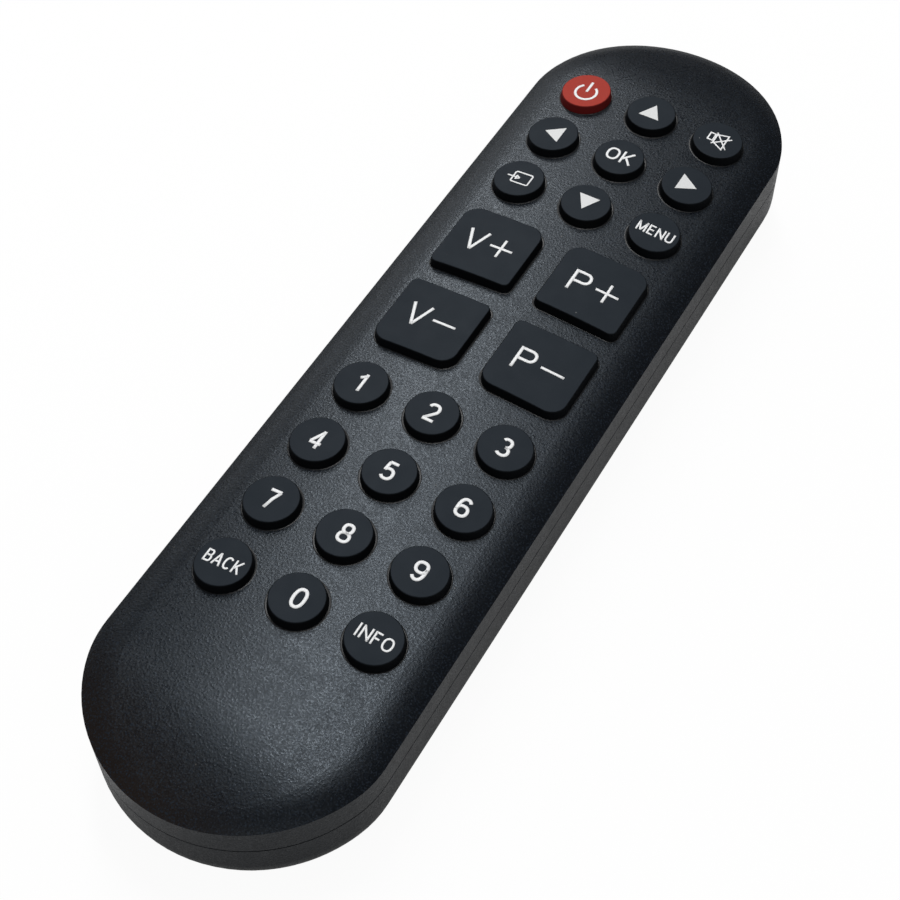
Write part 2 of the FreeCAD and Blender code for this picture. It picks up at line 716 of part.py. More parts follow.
def top_case():
    column = "(screw_diameter + 2 * column_wall)"
    columns = [rod(f"column_{index}", column, x, y, "board_seat", "case_height")
               for index, (x, y, seat) in enumerate(screws)]
    outside = common("top_outside", dome("outer_dome", "0"),
                     outline_block("top_block", "0", "parting_height", "case_height"))
    inside = common("top_inside", dome("inner_dome", "wall"),
                    outline_block("top_core", "wall", "parting_height - overcut", "case_height"))
    hollow = cut("top_hollow", inside, fuse("top_furniture", mat_ribs() + columns))
    cutters = key_stack("hole", "key_gap", mat_top, "case_height + key_rise")
    cutters += [rod(f"thread_{index}", "screw_diameter + 2 * screw_fit", x, y,
                    "board_seat - overcut", "board_seat + thread_depth")
                for index, (x, y, seat) in enumerate(screws)]
    cutters.append(outline_block("lip_rebate", f"{lip_inset} - lip_clearance",
                                 "parting_height - overcut", "board_seat + lip_end_gap",
                                 "wall + lip_clearance"))
    cutters.append(outline_block("parting_groove", "-overcut", "parting_height - overcut",
                                 "parting_height + groove_height", "groove_depth"))
    cutters.append(led_hole("top_led_hole"))
    shell = cut("top_shell", outside, hollow)
    return cut("top_case", shell, fuse("top_cutters", cutters))


def led_hole(name):
    return long_rod(name, "led_diameter + 2 * led_gap", "0", "parting_height", led_back,
                    f"{half_length} + overcut")


part(top_case())


# Bottom case

def door_slot():
    # The channel for the door: the panel's width at the back face, wider above it
    back = f"-{half_length} - overcut"
    front = f"{door_front} + door_gap"
    panel = wide_box("panel_slot", "door_width + 2 * door_gap", (back, front),
                     ("-overcut", slot_top))
    flanges = wide_box("flange_slot", "door_width + 2 * flange_width + 2 * door_gap",
                       (back, front), ("door_lap - door_gap", slot_top))
    tab = wide_box("tab_slot", "tab_width + 2 * door_gap", (back, f"{front} + tab_length"),
                   ("door_lap - door_gap", slot_top))
    return [panel, flanges, tab]


def bay_y(low, high):
    return (f"{bay_back} - ({low})", f"{bay_front} + ({high})")


def contact_slots():
    # Openings in the bay's roof for the tails of the two front contacts
    y = (f"{bay_front} - plate_thickness - tail_gap", bay_front)
    return [wide_box(f"tail_slot_{side}", "tail_width + 2 * tail_gap", y,
                     ("cell_floor", "board_seat + overcut"), f"{side} * cell_spacing / 2")
            for side in (-1, 1)]


def bottom_case():
    channel_top = "(door_inner + door_gap + channel_roof)"
    channel_width = "door_width + 2 * (flange_width + door_gap + channel_wall)"
    outside = fuse("bottom_outside", [
        tub("outer_tub", "0", "0", "parting_height"),
        outline_block("lip_block", lip_inset, "parting_height", "board_seat"),
    ])
    inside = tub("inner_tub", "wall", "wall", "case_height")
    furniture = [
        wide_box("channel_block", channel_width,
                 (f"-{half_length}", f"{door_front} + tab_length + door_gap + channel_wall"),
                 ("0", channel_top)),
        wide_box("bay_block", f"2 * ({bay_half} + bay_wall)", bay_y("bay_wall", "bay_wall"),
                 ("0", f"{bay_top} + bay_roof")),
    ]
    furniture.append(wide_box("led_saddle", "led_flange + 2 * led_gap",
                              (f"{led_back} + led_flange_length + led_gap", half_length),
                              ("0", "parting_height")))
    boss = "(screw_head + 2 * head_clearance + 2 * boss_wall)"
    furniture += [rod(f"boss_{index}", boss, x, y, "0", "board_seat")
                  for index, (x, y, seat) in enumerate(screws)]
    furniture += [rod(f"post_{index}", "post_diameter", x, y, "0", "board_seat")
                  for index, (x, y) in enumerate(posts)]
    hollow = cut("bottom_hollow", inside, fuse("bottom_furniture", furniture))
    shell = cut("bottom_shell", outside, hollow)
    cutters = door_slot() + contact_slots()
    cutters.append(wide_box("bay_pocket", f"2 * {bay_half}", bay_y("0", "0"), ("-overcut", bay_top)))
    cutters.append(wide_box("label_recess", "label_width",
                            ("label_centre - label_length / 2", "label_centre + label_length / 2"),
                            ("-overcut", "label_depth")))
    cutters.append(led_hole("bottom_led_hole"))
    for index, (x, y, seat) in enumerate(screws):
        cutters.append(rod(f"counterbore_{index}", "screw_head + 2 * head_clearance", x, y,
                           "-overcut", seat))
        cutters.append(rod(f"screw_hole_{index}", "screw_diameter + 2 * screw_clearance", x, y,
                           "0", "case_height"))
    holed = cut("bottom_holed", shell, fuse("bottom_cutters", cutters))
    pins = [rod(f"pin_{index}", "pin_diameter", x, y, "board_seat",
                "board_seat + board_thickness - pin_clearance")
            for index, (x, y) in enumerate(posts)]
    return fuse("bottom_case", [holed] + pins)


part(bottom_case())


# Battery door

def battery_door():
    back = f"-{half_length}"
    front = door_front
    panel = wide_box("door_panel", "door_width", (back, front), ("door_recess", "door_inner"))
    flanges = wide_box("door_flanges", "door_width + 2 * flange_width", (back, front),
                       ("door_lap", "door_inner"))
    tab = wide_box("door_tab", "tab_width", (f"{front} - tab_length", f"{front} + tab_length"),
                   ("door_lap", "door_inner"))
    blank = common("door_blank", fuse("door_plan", [panel, flanges, tab]),
                   tub("door_form", "0", "0", "parting_height"))
    grips = []
    for index in range(int(number("grip_count"))):
        middle = f"{door_front} - grip_inset - {index} * grip_pitch"
        grips.append(wide_box(f"grip_{index}", "grip_length",
                              (f"{middle} - grip_width / 2", f"{middle} + grip_width / 2"),
                              ("-overcut", "door_recess + grip_depth")))
    return cut("battery_door", blank, fuse("door_grips", grips))


part(battery_door())


# Circuit board and keypad mat

def board_plate(name, margin, low, high, corner):
    # A plate under the keys, a margin smaller than the circuit board
    body = new_body(name)
    sketch = sketch_on(body, name + "_outline", y=f"({board_front} + {board_back}) / 2", z=low)
    plate_outline(sketch, f"board_width - 2 * ({margin})",
                  f"{board_front} - {board_back} - 2 * ({margin})", corner, corner)
    pad(body, sketch, f"({high}) - ({low})")
    return body


def circuit_board():
    holes = [rod(f"board_hole_{index}", "pin_diameter + 2 * pin_clearance", x, y,
                 "board_seat - overcut", f"{board_top} + overcut")
             for index, (x, y) in enumerate(posts)]
    blank = board_plate("board_plate", "0", "board_seat", board_top, "board_corner")
    return cut("circuit_board", blank, fuse("board_holes", holes))


def keypad_mat():
    # The sheet, with a hole under each key and a thin sloping web from its rim to the key
    mat = board_plate("mat_plate", "mat_margin", board_top, mat_top, "board_corner - mat_margin")
    inner = "web_spread - web_thickness"
    webs = key_stack("web", "web_spread", mat_top, key_base, "0")
    wells = key_stack("well", inner, "board_seat", mat_top)
    hollows = key_stack("hollow", inner, mat_top, key_base, "-web_thickness")
    return cut("keypad_mat", fuse("mat_solid", [mat] + webs), fuse("mat_hollows", wells + hollows))


part(circuit_board())
part(keypad_mat())


# Parts under the board

def under_board(name, width, length, height, x, inset):
    # A block soldered under the board, some way behind its front edge
    y = f"({board_front} - {inset})"
    return wide_box(name, width, (f"{y} - ({length}) / 2", f"{y} + ({length}) / 2"),
                    (f"board_seat - ({height})", "board_seat"), x)


def controller_chip():
    block = under_board("chip_block", "chip_width", "chip_length", "chip_height", "0",
                        "chip_inset")
    leads = [under_board(f"chip_lead_{index}", "chip_width + 2 * chip_lead", "chip_lead_width",
                         "chip_lead_thickness", "0",
                         f"(chip_inset + ({index} - (chip_leads - 1) / 2) * chip_lead_pitch)")
             for index in range(int(number("chip_leads")))]
    return fuse("controller_chip", [block] + leads)


part(controller_chip())
part(under_board("resonator", "resonator_width", "resonator_depth", "resonator_height",
                 "resonator_x", "resonator_inset"))
part(rod("capacitor", "capacitor_diameter", "-capacitor_x", f"{board_front} - capacitor_inset",
         "board_seat - capacitor_height", "board_seat"))
part(under_board("transistor", "transistor_length", "transistor_width", "transistor_height", "0",
                 "transistor_inset"))
part(group("resistors", [
    under_board(f"resistor_{index}", "resistor_length", "resistor_width", "resistor_height",
                f"({index} - (resistor_count - 1) / 2) * resistor_pitch", "resistor_inset")
    for index in range(int(number("resistor_count")))]))


# Infrared LED

def infrared_led():
    barrel = long_rod("led_barrel", "led_diameter", "0", "parting_height", led_back, led_centre)
    flange = long_rod("led_flange_disc", "led_flange", "0", "parting_height", led_back,
                      f"{led_back} + led_flange_length")
    lens = doc.addObject("Part::Sphere", "led_lens")
    bind(lens, "Radius", "led_diameter / 2")
    place(lens, "0", led_centre, "parting_height")
    leads = []
    foot = f"({led_back} - lead_run)"
    for side in (-1, 1):
        x = f"{side} * lead_spacing / 2"
        leads.append(wide_box(f"lead_run_{side}", "lead_width", (foot, f"{led_back} + lead_width"),
                              ("parting_height - lead_width / 2",
                               "parting_height + lead_width / 2"), x))
        leads.append(wide_box(f"lead_foot_{side}", "lead_width", (foot, f"{foot} + lead_width"),
                              ("parting_height - lead_width / 2", "board_seat"), x))
    return fuse("infrared_led", [barrel, flange, lens] + leads)


part(infrared_led())


# Cells and their contacts. The left cell points forwards and the right one backwards.

def cell(name, side, plus_front):
    body = new_body(name)
    can_length = "(cell_length - nub_length)"
    sketch = sketch_on(body, name + "_section", "XY_Plane", z="0")
    radius, nub = number("cell_diameter") / 2, number("nub_diameter") / 2
    length, whole = number(can_length), number("cell_length")
    corners = [(0, 0), (radius, 0), (radius, length), (nub, length), (nub, whole), (0, whole)]
    for index, corner in enumerate(corners):
        after = corners[(index + 1) % len(corners)]
        sketch.addGeometry(Part.LineSegment(Vector(*corner, 0), Vector(*after, 0)), False)
    for index in range(6):
        constrain(sketch, "Coincident", index, 2, (index + 1) % 6, 1)
        constrain(sketch, "Horizontal" if index % 2 == 0 else "Vertical", index)
    constrain(sketch, "Coincident", 0, 1, -1, 1)
    dimension(sketch, "DistanceX", -1, 1, 0, 2, "cell_diameter / 2")
    dimension(sketch, "DistanceX", -1, 1, 4, 1, "nub_diameter / 2")
    dimension(sketch, "DistanceY", -1, 1, 1, 2, can_length)
    dimension(sketch, "DistanceY", -1, 1, 4, 1, "cell_length")
    turned = body.newObject("PartDesign::Revolution", name + "_turned")
    turned.Profile = sketch
    turned.ReferenceAxis = (sketch, ["V_Axis"])
    turned.Angle = 360
    sketch.Visibility = False
    doc.recompute()
    rounded = body.newObject("PartDesign::Fillet", name + "_ends")
    rims = [f"Edge{index}" for index, edge in enumerate(turned.Shape.Edges, start=1)
            if isinstance(edge.Curve, Part.Circle)
            and abs(edge.Curve.Radius - radius) < number("cell_edge")]
    rounded.Base = (turned, rims)
    bind(rounded, "Radius", "cell_edge")
    if plus_front:
        place(body, f"{side} * cell_spacing / 2",
              f"{bay_front} - plate_thickness - cell_length", cell_axis)
    else:
        place(body, f"{side} * cell_spacing / 2", f"{bay_back} + plate_thickness + cell_length",
              cell_axis, Rotation(Vector(0, 0, 1), 180))
    return body


part(cell("battery_left", -1, True))
part(cell("battery_right", 1, False))


def plate(name, width, y, x="0"):
    return wide_box(name, width, y, (f"{cell_axis} - plate_height / 2",
                                     f"{cell_axis} + plate_height / 2"), x)


def spring(name, x, y, forwards):
    # A conical spring's outer shape, its wide end on the plate
    cone = doc.addObject("Part::Cone", name + "_outer")
    core = doc.addObject("Part::Cone", name + "_inner")
    turn = Rotation(Vector(1, 0, 0), -90 if forwards else 90)
    for solid, wire in ((cone, "0"), (core, "spring_wire")):
        bind(solid, "Radius1", f"spring_wide / 2 - {wire}")
        bind(solid, "Radius2", f"spring_narrow / 2 - {wire}")
        bind(solid, "Height", "spring_length")
        place(solid, x, y, cell_axis, turn)
    return cut(name, cone, core)


def tail(name, x):
    return wide_box(name, "tail_width", (f"{bay_front} - plate_thickness", bay_front),
                    (cell_axis, "board_seat"), x)


front_plate = (f"{bay_front} - plate_thickness", bay_front)
left, right = "-cell_spacing / 2", "cell_spacing / 2"
part(fuse("contact_positive", [plate("positive_plate", "plate_width", front_plate, left),
                               tail("positive_tail", left)]))
part(fuse("contact_negative", [plate("negative_plate", "plate_width", front_plate, right),
                               tail("negative_tail", right),
                               spring("negative_spring", right, front_plate[0], False)]))
rear_plate = (bay_back, f"{bay_back} + plate_thickness")
part(fuse("contact_bridge", [plate("bridge_plate", "cell_spacing + plate_width", rear_plate),
                             spring("bridge_spring", left, rear_plate[1], True)]))


# Case screws

def screw(index, x, y, seat):
    head = rod(f"screw_{index}_head", "screw_head", x, y, f"{seat} - screw_head_height", seat)
    shank = rod(f"screw_{index}_shank", "screw_diameter", x, y, seat, f"{seat} + screw_length")
    foot = f"({seat} - screw_head_height)"
    cross = [wide_box(f"screw_{index}_arm_{width}", width,
                      (f"{y} - {length} / 2", f"{y} + {length} / 2"),
                      (f"{foot} - overcut", f"{foot} + recess_depth"), x)
             for width, length in (("recess_length", "recess_width"),
                                   ("recess_width", "recess_length"))]
    return cut(f"screw_{index}", fuse(f"screw_{index}_blank", [head, shank]),
               fuse(f"screw_{index}_cross", cross))


part(group("case_screws", [screw(index, *where) for index, where in enumerate(screws)]))

doc.recompute()

# Checks, then one file for each sub-part

failed = [thing.Name for thing in doc.Objects if {"Invalid", "Error"} & set(thing.State)]
for thing in parts:
    if thing.Shape.isNull() or not thing.Shape.isValid():
        failed.append(thing.Label)
if failed:
    raise RuntimeError("these objects failed: " + ", ".join(failed))

os.makedirs("parts", exist_ok=True)
for thing in parts:
    thing.Shape.exportStep(f"parts/{thing.Label}.step")
    print(thing.Label, len(thing.Shape.Solids), round(thing.Shape.Volume, 2))
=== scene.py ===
import bpy, math
from mathutils import Matrix, Vector


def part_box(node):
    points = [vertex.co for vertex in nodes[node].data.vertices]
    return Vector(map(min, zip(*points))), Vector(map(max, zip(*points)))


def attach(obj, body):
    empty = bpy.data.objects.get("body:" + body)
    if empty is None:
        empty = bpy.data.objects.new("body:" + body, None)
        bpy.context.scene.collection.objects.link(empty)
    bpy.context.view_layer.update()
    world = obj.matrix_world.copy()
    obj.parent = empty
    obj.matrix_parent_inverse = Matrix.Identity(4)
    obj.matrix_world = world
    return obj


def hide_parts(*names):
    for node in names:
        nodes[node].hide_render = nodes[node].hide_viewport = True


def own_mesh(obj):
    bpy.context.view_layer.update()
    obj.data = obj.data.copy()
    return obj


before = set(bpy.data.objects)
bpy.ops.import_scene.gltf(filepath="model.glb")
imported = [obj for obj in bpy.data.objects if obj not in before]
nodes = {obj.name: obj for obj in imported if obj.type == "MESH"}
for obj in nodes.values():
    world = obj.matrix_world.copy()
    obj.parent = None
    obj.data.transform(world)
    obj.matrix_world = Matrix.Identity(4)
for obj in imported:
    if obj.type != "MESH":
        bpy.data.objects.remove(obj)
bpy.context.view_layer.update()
mm = 0.001
print("frame loaded,", len(nodes), "nodes")


# selecting and finishing, as by hand

def deselect():
    if bpy.context.mode != "OBJECT":
        bpy.ops.object.mode_set(mode="OBJECT")
    bpy.ops.object.select_all(action="DESELECT")


def choose(*things):
    deselect()
    for thing in things:
        thing.select_set(True)
    bpy.context.view_layer.objects.active = things[0]
    return things[0]


def applyPlace(thing):
    choose(thing)
    bpy.ops.object.transform_apply(location=True, rotation=True, scale=True)
    return thing


def modify(thing, kind, **settings):
    choose(thing)
    change = thing.modifiers.new(kind.title(), kind)
    for name, value in settings.items():
        setattr(change, name, value)
    bpy.ops.object.modifier_apply(modifier=change.name)
    return thing


def recalcNormals(thing):
    choose(thing)
    bpy.ops.object.mode_set(mode="EDIT")
    bpy.ops.mesh.select_all(action="SELECT")
    bpy.ops.mesh.normals_make_consistent(inside=False)
    bpy.ops.object.mode_set(mode="OBJECT")


def noFaces(thing):
    # face select mode, with nothing selected, so that faces can be picked by a test
    choose(thing)
    bpy.ops.object.mode_set(mode="EDIT")
    bpy.ops.mesh.select_mode(type="FACE")
    bpy.ops.mesh.select_all(action="DESELECT")
    bpy.ops.object.mode_set(mode="OBJECT")


def linked(name, data):
    thing = bpy.data.objects.new(name, data)
    bpy.context.scene.collection.objects.link(thing)
    return thing


def middle(node):
    low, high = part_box(node)
    return (low + high) / 2


def finishPiece(thing, name, material, body):
    thing.name = name
    thing.data.name = name
    thing.data.materials.clear()
    thing.data.materials.append(material)
    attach(thing, body)
    return thing


# shader maths

class Wire:                                     # a socket that takes part in sums
    def __init__(self, tree, socket):
        self.tree, self.socket = tree, socket

    def work(self, operation, first, second):
        return self.tree.add("ShaderNodeMath", {"operation": operation}, {0: first, 1: second})

    def __add__(self, other):
        return self.work("ADD", self, other)

    def __sub__(self, other):
        return self.work("SUBTRACT", self, other)

    def __rsub__(self, other):
        return self.work("SUBTRACT", other, self)

    def __mul__(self, other):
        return self.work("MULTIPLY", self, other)

    __radd__, __rmul__ = __add__, __mul__


class Tree:                                     # the nodes of a material or of the world
    def __init__(self, owner):
        owner.use_nodes = True
        self.nodes, self.links = owner.node_tree.nodes, owner.node_tree.links

    def feed(self, node, sockets):
        for socket, value in sockets.items():
            if isinstance(value, Wire):
                self.links.new(value.socket, node.inputs[socket])
            else:
                node.inputs[socket].default_value = value

    def add(self, kind, settings, sockets, output=0):
        node = self.nodes.new(kind)
        for name, value in settings.items():
            setattr(node, name, value)
        self.feed(node, sockets)
        return Wire(self, node.outputs[output])

    def raySort(self, *sorts):                  # 1 for rays of the named sorts, 0 for all others
        return sum(self.add("ShaderNodeLightPath", {}, {}, f"Is {sort} Ray") for sort in sorts)


class Finish(Tree):                             # a material with a principled shader
    def __init__(self, name, fixed):
        self.material = bpy.data.materials.new(name)
        super().__init__(self.material)
        self.shader = self.nodes["Principled BSDF"]
        self.feed(self.shader, fixed)

    def millimetres(self):                      # object coordinates, one unit to the millimetre
        place = self.add("ShaderNodeTexCoord", {}, {}, "Object")
        return self.add("ShaderNodeMapping", {}, {"Vector": place, "Scale": (1000, 1000, 1000)})

    def noise(self, where, scale, detail=2.0, roughness=0.5):
        return self.add("ShaderNodeTexNoise", {}, {"Vector": where, "Scale": scale, "Detail": detail,
                                                  "Roughness": roughness})

    def cells(self, where, scale):
        return self.add("ShaderNodeTexVoronoi", {}, {"Vector": where, "Scale": scale}, "Distance")

    def ramp(self, value, low, high):           # from 0 at low to 1 at high
        return self.add("ShaderNodeMapRange", {"clamp": True, "interpolation_type": "SMOOTHSTEP"},
                        {"Value": value, "From Min": low, "From Max": high})

    def mixed(self, mask, first, second):
        return self.add("ShaderNodeMix", {"data_type": "RGBA"}, {"Factor": mask, 6: first, 7: second}, 2)

    def axis(self, where, letter):
        return self.add("ShaderNodeSeparateXYZ", {}, {"Vector": where}, letter)

    def facing(self):                           # 1 where the surface looks up, 0 on upright walls
        return self.axis(self.add("ShaderNodeNewGeometry", {}, {}, "Normal"), "Z")

    def specks(self, where, kind):              # small round dots, in some places only
        dots = self.ramp(self.cells(where, kind["scale"]), *kind["size"])
        return dots * self.ramp(self.noise(where, kind["patch"]), *kind["share"])

    def bump(self, height, strength, distance):
        normal = self.add("ShaderNodeBump", {}, {"Height": height, "Strength": strength, "Distance": distance})
        self.feed(self.shader, {"Normal": normal})

    def done(self, **sockets):
        names = {"colour": "Base Color", "roughness": "Roughness", "metallic": "Metallic"}
        self.feed(self.shader, {names[key]: value for key, value in sockets.items()})
        return self.material


def rgba(red, green, blue):
    return (red, green, blue, 1.0)


# materials

casePaint = {
    # the third, lightest grain tone is a painted glint colour
    "deep": rgba(0.0016, 0.0021, 0.0032), "grey": rgba(0.0036, 0.005, 0.0078), "paintedGlintTone": rgba(0.0115, 0.016, 0.0235),
    "sheen": rgba(0.78, 0.89, 1.0), "level": 0.34, "up": (0.25, 0.75),
    # the brown tint, its slant and its range place a painted reflection on the near left end
    "paintedWarmReflection": rgba(0.019, 0.0115, 0.0072), "reflectionSlant": 0.45, "reflectionFrom": 78.0, "reflectionTo": 104.0,
    "grainScale": 3.1, "pitScale": 2.17, "glintScale": 3.565, "cloudScale": 0.035, "mottleScale": 0.3,
    "greyShare": (0.38, 0.66), "glintShare": (0.5, 0.72),
    "grainDepth": 0.037 * mm, "noiseShare": 0.7, "pitShare": 0.5,
    "roughness": 0.335, "grainRough": -0.19, "cloudRough": 0.06, "mottleRough": 0.14,
    "dust": {"scale": 0.23, "size": (0.035, 0.02), "patch": 0.09, "share": (0.52, 0.6)},
    "dustTone": rgba(0.35, 0.31, 0.26), "dustCover": 0.35,
}


def caseFinish(name, paintedWarmReflection):
    # spark-eroded plastic: a fine grain that breaks up the sheen, with a little dust, painted glints on the up-facing
    # grain, and, when asked, a painted warm reflection towards the near left end
    p = casePaint
    f = Finish(name, {"IOR": 1.5, "Specular IOR Level": p["level"], "Specular Tint": p["sheen"]})
    place = f.millimetres()
    grain = f.noise(place, p["grainScale"], 3.0, 0.7)
    pits = f.cells(place, p["pitScale"])
    cloud = f.noise(place, p["cloudScale"])
    mottle = f.noise(place, p["mottleScale"], 3.0, 0.6)
    flecks = f.ramp(grain, *p["greyShare"])
    up = f.ramp(f.facing(), *p["up"])
    colour = f.mixed(flecks, p["deep"], p["grey"])
    # painted reflection: a warm brown tint on up-facing parts, growing towards the near left end
    if paintedWarmReflection:
        slant = f.axis(place, "Y") * -1.0 - f.axis(place, "X") * p["reflectionSlant"]
        paintedReflectionMask = f.ramp(slant, p["reflectionFrom"], p["reflectionTo"])
        colour = f.mixed(paintedReflectionMask * (0.5 + 0.5 * cloud) * up, colour, p["paintedWarmReflection"])
    # painted glints: a lighter bluish base colour on up-facing grain, in place of the grain's sparkle
    paintedGlints = f.ramp(f.noise(place, p["glintScale"], 1.0, 0.4), *p["glintShare"])
    colour = f.mixed(paintedGlints * up, colour, p["paintedGlintTone"])
    colour = f.mixed(f.specks(place, p["dust"]) * p["dustCover"] * up, colour, p["dustTone"])
    f.bump(grain * p["noiseShare"] + pits * p["pitShare"], 1.0, p["grainDepth"])
    rough = (p["roughness"] + (flecks - 0.5) * p["grainRough"] + (cloud - 0.5) * p["cloudRough"]
             + (mottle - 0.5) * p["mottleRough"])
    return f.done(colour=colour, roughness=rough)


# the side colours are painted shade, much darker than the tops
keyPaint = {"top": rgba(0.0078, 0.0115, 0.0165), "side": rgba(0.0004, 0.0007, 0.0014), "sheen": rgba(0.8, 0.9, 1.0)}
powerPaint = {"top": rgba(0.335, 0.028, 0.017), "side": rgba(0.13, 0.006, 0.006), "sheen": rgba(1.0, 0.9, 0.85)}
keySkin = {
    "level": 0.25, "up": (0.8, 0.985), "worn": 1.18, "wornShare": (0.3, 0.7), "fineScale": 6.0,
    "fineDepth": 0.006 * mm, "fineStrength": 0.25,
    "roughness": 0.62, "hazeScale": 0.3, "hazeRough": 0.12, "sideRough": 0.1,
    "speck": {"scale": 0.31, "size": (0.04, 0.025), "patch": 0.13, "share": (0.55, 0.62)},
    "speckTone": rgba(0.4, 0.4, 0.4), "speckCover": 0.4,
}


def keyFinish(name, paint):
    # matt rubbery plastic, with painted shade on its sides: they take a much darker colour than the top
    k = keySkin
    f = Finish(name, {"IOR": 1.45, "Specular IOR Level": k["level"], "Specular Tint": paint["sheen"]})
    place = f.millimetres()
    haze = f.noise(place, k["hazeScale"], 3.0)
    fine = f.noise(place, k["fineScale"])
    up = f.ramp(f.facing(), *k["up"])
    lighter = rgba(*[part * k["worn"] for part in paint["top"][:3]])
    # painted shade: faces that do not look up take the dark side colour
    colour = f.mixed(up, paint["side"], f.mixed(f.ramp(fine, *k["wornShare"]), paint["top"], lighter))
    colour = f.mixed(f.specks(place, k["speck"]) * k["speckCover"] * up, colour, k["speckTone"])
    f.bump(fine, k["fineStrength"], k["fineDepth"])
    return f.done(colour=colour,
                  roughness=k["roughness"] + (haze - 0.5) * k["hazeRough"] + (1 - up) * k["sideRough"])


def plainFinish(name, colour, roughness, shade=0.25, scale=1.2, metallic=0.0, level=0.5):
    # a moulded or rolled surface with a slight change of tone and a fine grain
    f = Finish(name, {"Metallic": metallic, "Specular IOR Level": level})
    place = f.millimetres()
    tone = f.noise(place, scale, 3.0)
    darker = rgba(*[part * (1 - shade) for part in colour])
    f.bump(f.noise(place, scale * 5), 0.3, 0.01 * mm)
    return f.done(colour=f.mixed(tone, darker, rgba(*colour)), roughness=roughness + (tone - 0.5) * 0.15)


laminate = {"bare": rgba(0.012, 0.07, 0.022), "track": rgba(0.03, 0.14, 0.045), "edge": (0.62, 0.68),
            "wave": 0.35, "wander": 6.0, "rise": 0.03 * mm}


def boardFinish():
    # green solder mask with tracks that show through
    f = Finish("boardLaminate", {"IOR": 1.5})
    place = f.millimetres()
    tracks = f.add("ShaderNodeTexWave", {"wave_type": "BANDS", "bands_direction": "DIAGONAL"},
                   {"Vector": place, "Scale": laminate["wave"], "Distortion": laminate["wander"], "Detail": 0.0})
    track = f.ramp(tracks, *laminate["edge"])
    f.bump(track, 0.4, laminate["rise"])
    return f.done(colour=f.mixed(track, laminate["bare"], laminate["track"]),
                  roughness=0.35 + f.noise(place, 0.4) * 0.1)


sleevePrint = {                                 # along the cell from its minus end, in millimetres
    "start": (0.9, 1.0), "end": (43.1, 43.0), "band": (31.0, 31.1),
    "dark": rgba(0.012, 0.013, 0.016), "light": rgba(0.55, 0.33, 0.06),
    "can": rgba(0.52, 0.52, 0.53), "canLight": rgba(0.66, 0.66, 0.67),
}


def sleeveFinish(name, node):
    # a cell's printed sleeve: bare can at both ends, a light band by the plus end
    s = sleevePrint
    f = Finish(name, {"IOR": 1.5, "Coat Weight": 0.3, "Coat Roughness": 0.15})
    low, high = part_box(node)
    minusEnd, way = (low.y, 1) if node == "battery_left" else (high.y, -1)
    along = (f.axis(f.millimetres(), "Y") - minusEnd / mm) * way
    sleeve = f.ramp(along, *s["start"]) * f.ramp(along, *s["end"])
    tone = f.noise(f.millimetres(), 0.5)
    printed = f.mixed(f.ramp(along, *s["band"]), s["dark"], s["light"])
    return f.done(colour=f.mixed(sleeve, f.mixed(tone, s["can"], s["canLight"]), printed),
                  metallic=1.0 - sleeve * 0.85, roughness=0.3 + tone * 0.1)


def legendFinish(name, thin, full):
    # printed ink that is thinner in places
    f = Finish(name, {"IOR": 1.45})
    wear = f.noise(f.millimetres(), 3.5, 3.0)
    return f.done(colour=f.mixed(wear, thin, full), roughness=0.5 + (wear - 0.5) * 0.2)


def epoxyFinish():
    # the emitter's smoky lens
    f = Finish("emitterEpoxy", {"IOR": 1.55, "Transmission Weight": 0.35})
    cloud = f.noise(f.millimetres(), 0.8)
    return f.done(colour=f.mixed(cloud, rgba(0.05, 0.045, 0.08), rgba(0.09, 0.08, 0.13)),
                  roughness=0.1 + cloud * 0.06)


# the front case carries the painted warm reflection; the back case does not
caseMaterial = caseFinish("caseSparkTexture", True)
backMaterial = caseFinish("backSparkTexture", False)
keyMaterial = keyFinish("keyMatte", keyPaint)
powerMaterial = keyFinish("powerKeyMatte", powerPaint)
inkMaterial = legendFinish("legendInk", rgba(0.9, 0.91, 0.92), rgba(0.96, 0.97, 0.98))
arrowMaterial = legendFinish("arrowInk", rgba(0.62, 0.63, 0.63), rgba(0.8, 0.81, 0.81))
rimMaterial = plainFinish("rimEased", (0.0035, 0.0043, 0.0058), 0.38, 0.3, 1.5, level=0.32)
rubberMaterial = plainFinish("matSilicone", (0.24, 0.25, 0.27), 0.6, 0.15, 0.8)
metalMaterial = plainFinish("contactNickel", (0.62, 0.6, 0.56), 0.32, 0.2, 1.5, 1.0)
screwMaterial = plainFinish("screwBlackened", (0.07, 0.07, 0.075), 0.4, 0.3, 2.0, 0.9)

cadFinishes = {
    "top_case": caseMaterial, "bottom_case": backMaterial, "battery_door": backMaterial,
    "circuit_board": boardFinish(), "infrared_led": epoxyFinish(),
    "controller_chip": plainFinish("chipMoulding", (0.012, 0.012, 0.013), 0.5),
    "resonator": plainFinish("resonatorCoat", (0.45, 0.2, 0.03), 0.35),
    "capacitor": plainFinish("capacitorSleeve", (0.02, 0.03, 0.09), 0.3),
    "transistor": plainFinish("transistorMoulding", (0.015, 0.015, 0.015), 0.5),
    "resistors": plainFinish("resistorCeramic", (0.03, 0.03, 0.035), 0.4),
    "contact_positive": metalMaterial, "contact_negative": metalMaterial, "contact_bridge": metalMaterial,
    "case_screws": screwMaterial,
    "battery_left": sleeveFinish("cellSleeveLeft", "battery_left"),
    "battery_right": sleeveFinish("cellSleeveRight", "battery_right"),
}
keyNodes = [name for name in nodes if name.startswith("key_")]
cadFinishes.update({name: powerMaterial if name == "key_power" else keyMaterial for name in keyNodes})
for name, material in cadFinishes.items():
    nodes[name].data.materials.clear()
    nodes[name].data.materials.append(material)
print("materials on", len(cadFinishes), "nodes")


# legends: each is strokes of one pen, drawn flat, laid on its key and given a little thickness

ink = {"lift": 0.012 * mm, "thickness": 0.03 * mm, "steps": 14, "square": 2.3, "parts": 6, "above": 1 * mm}


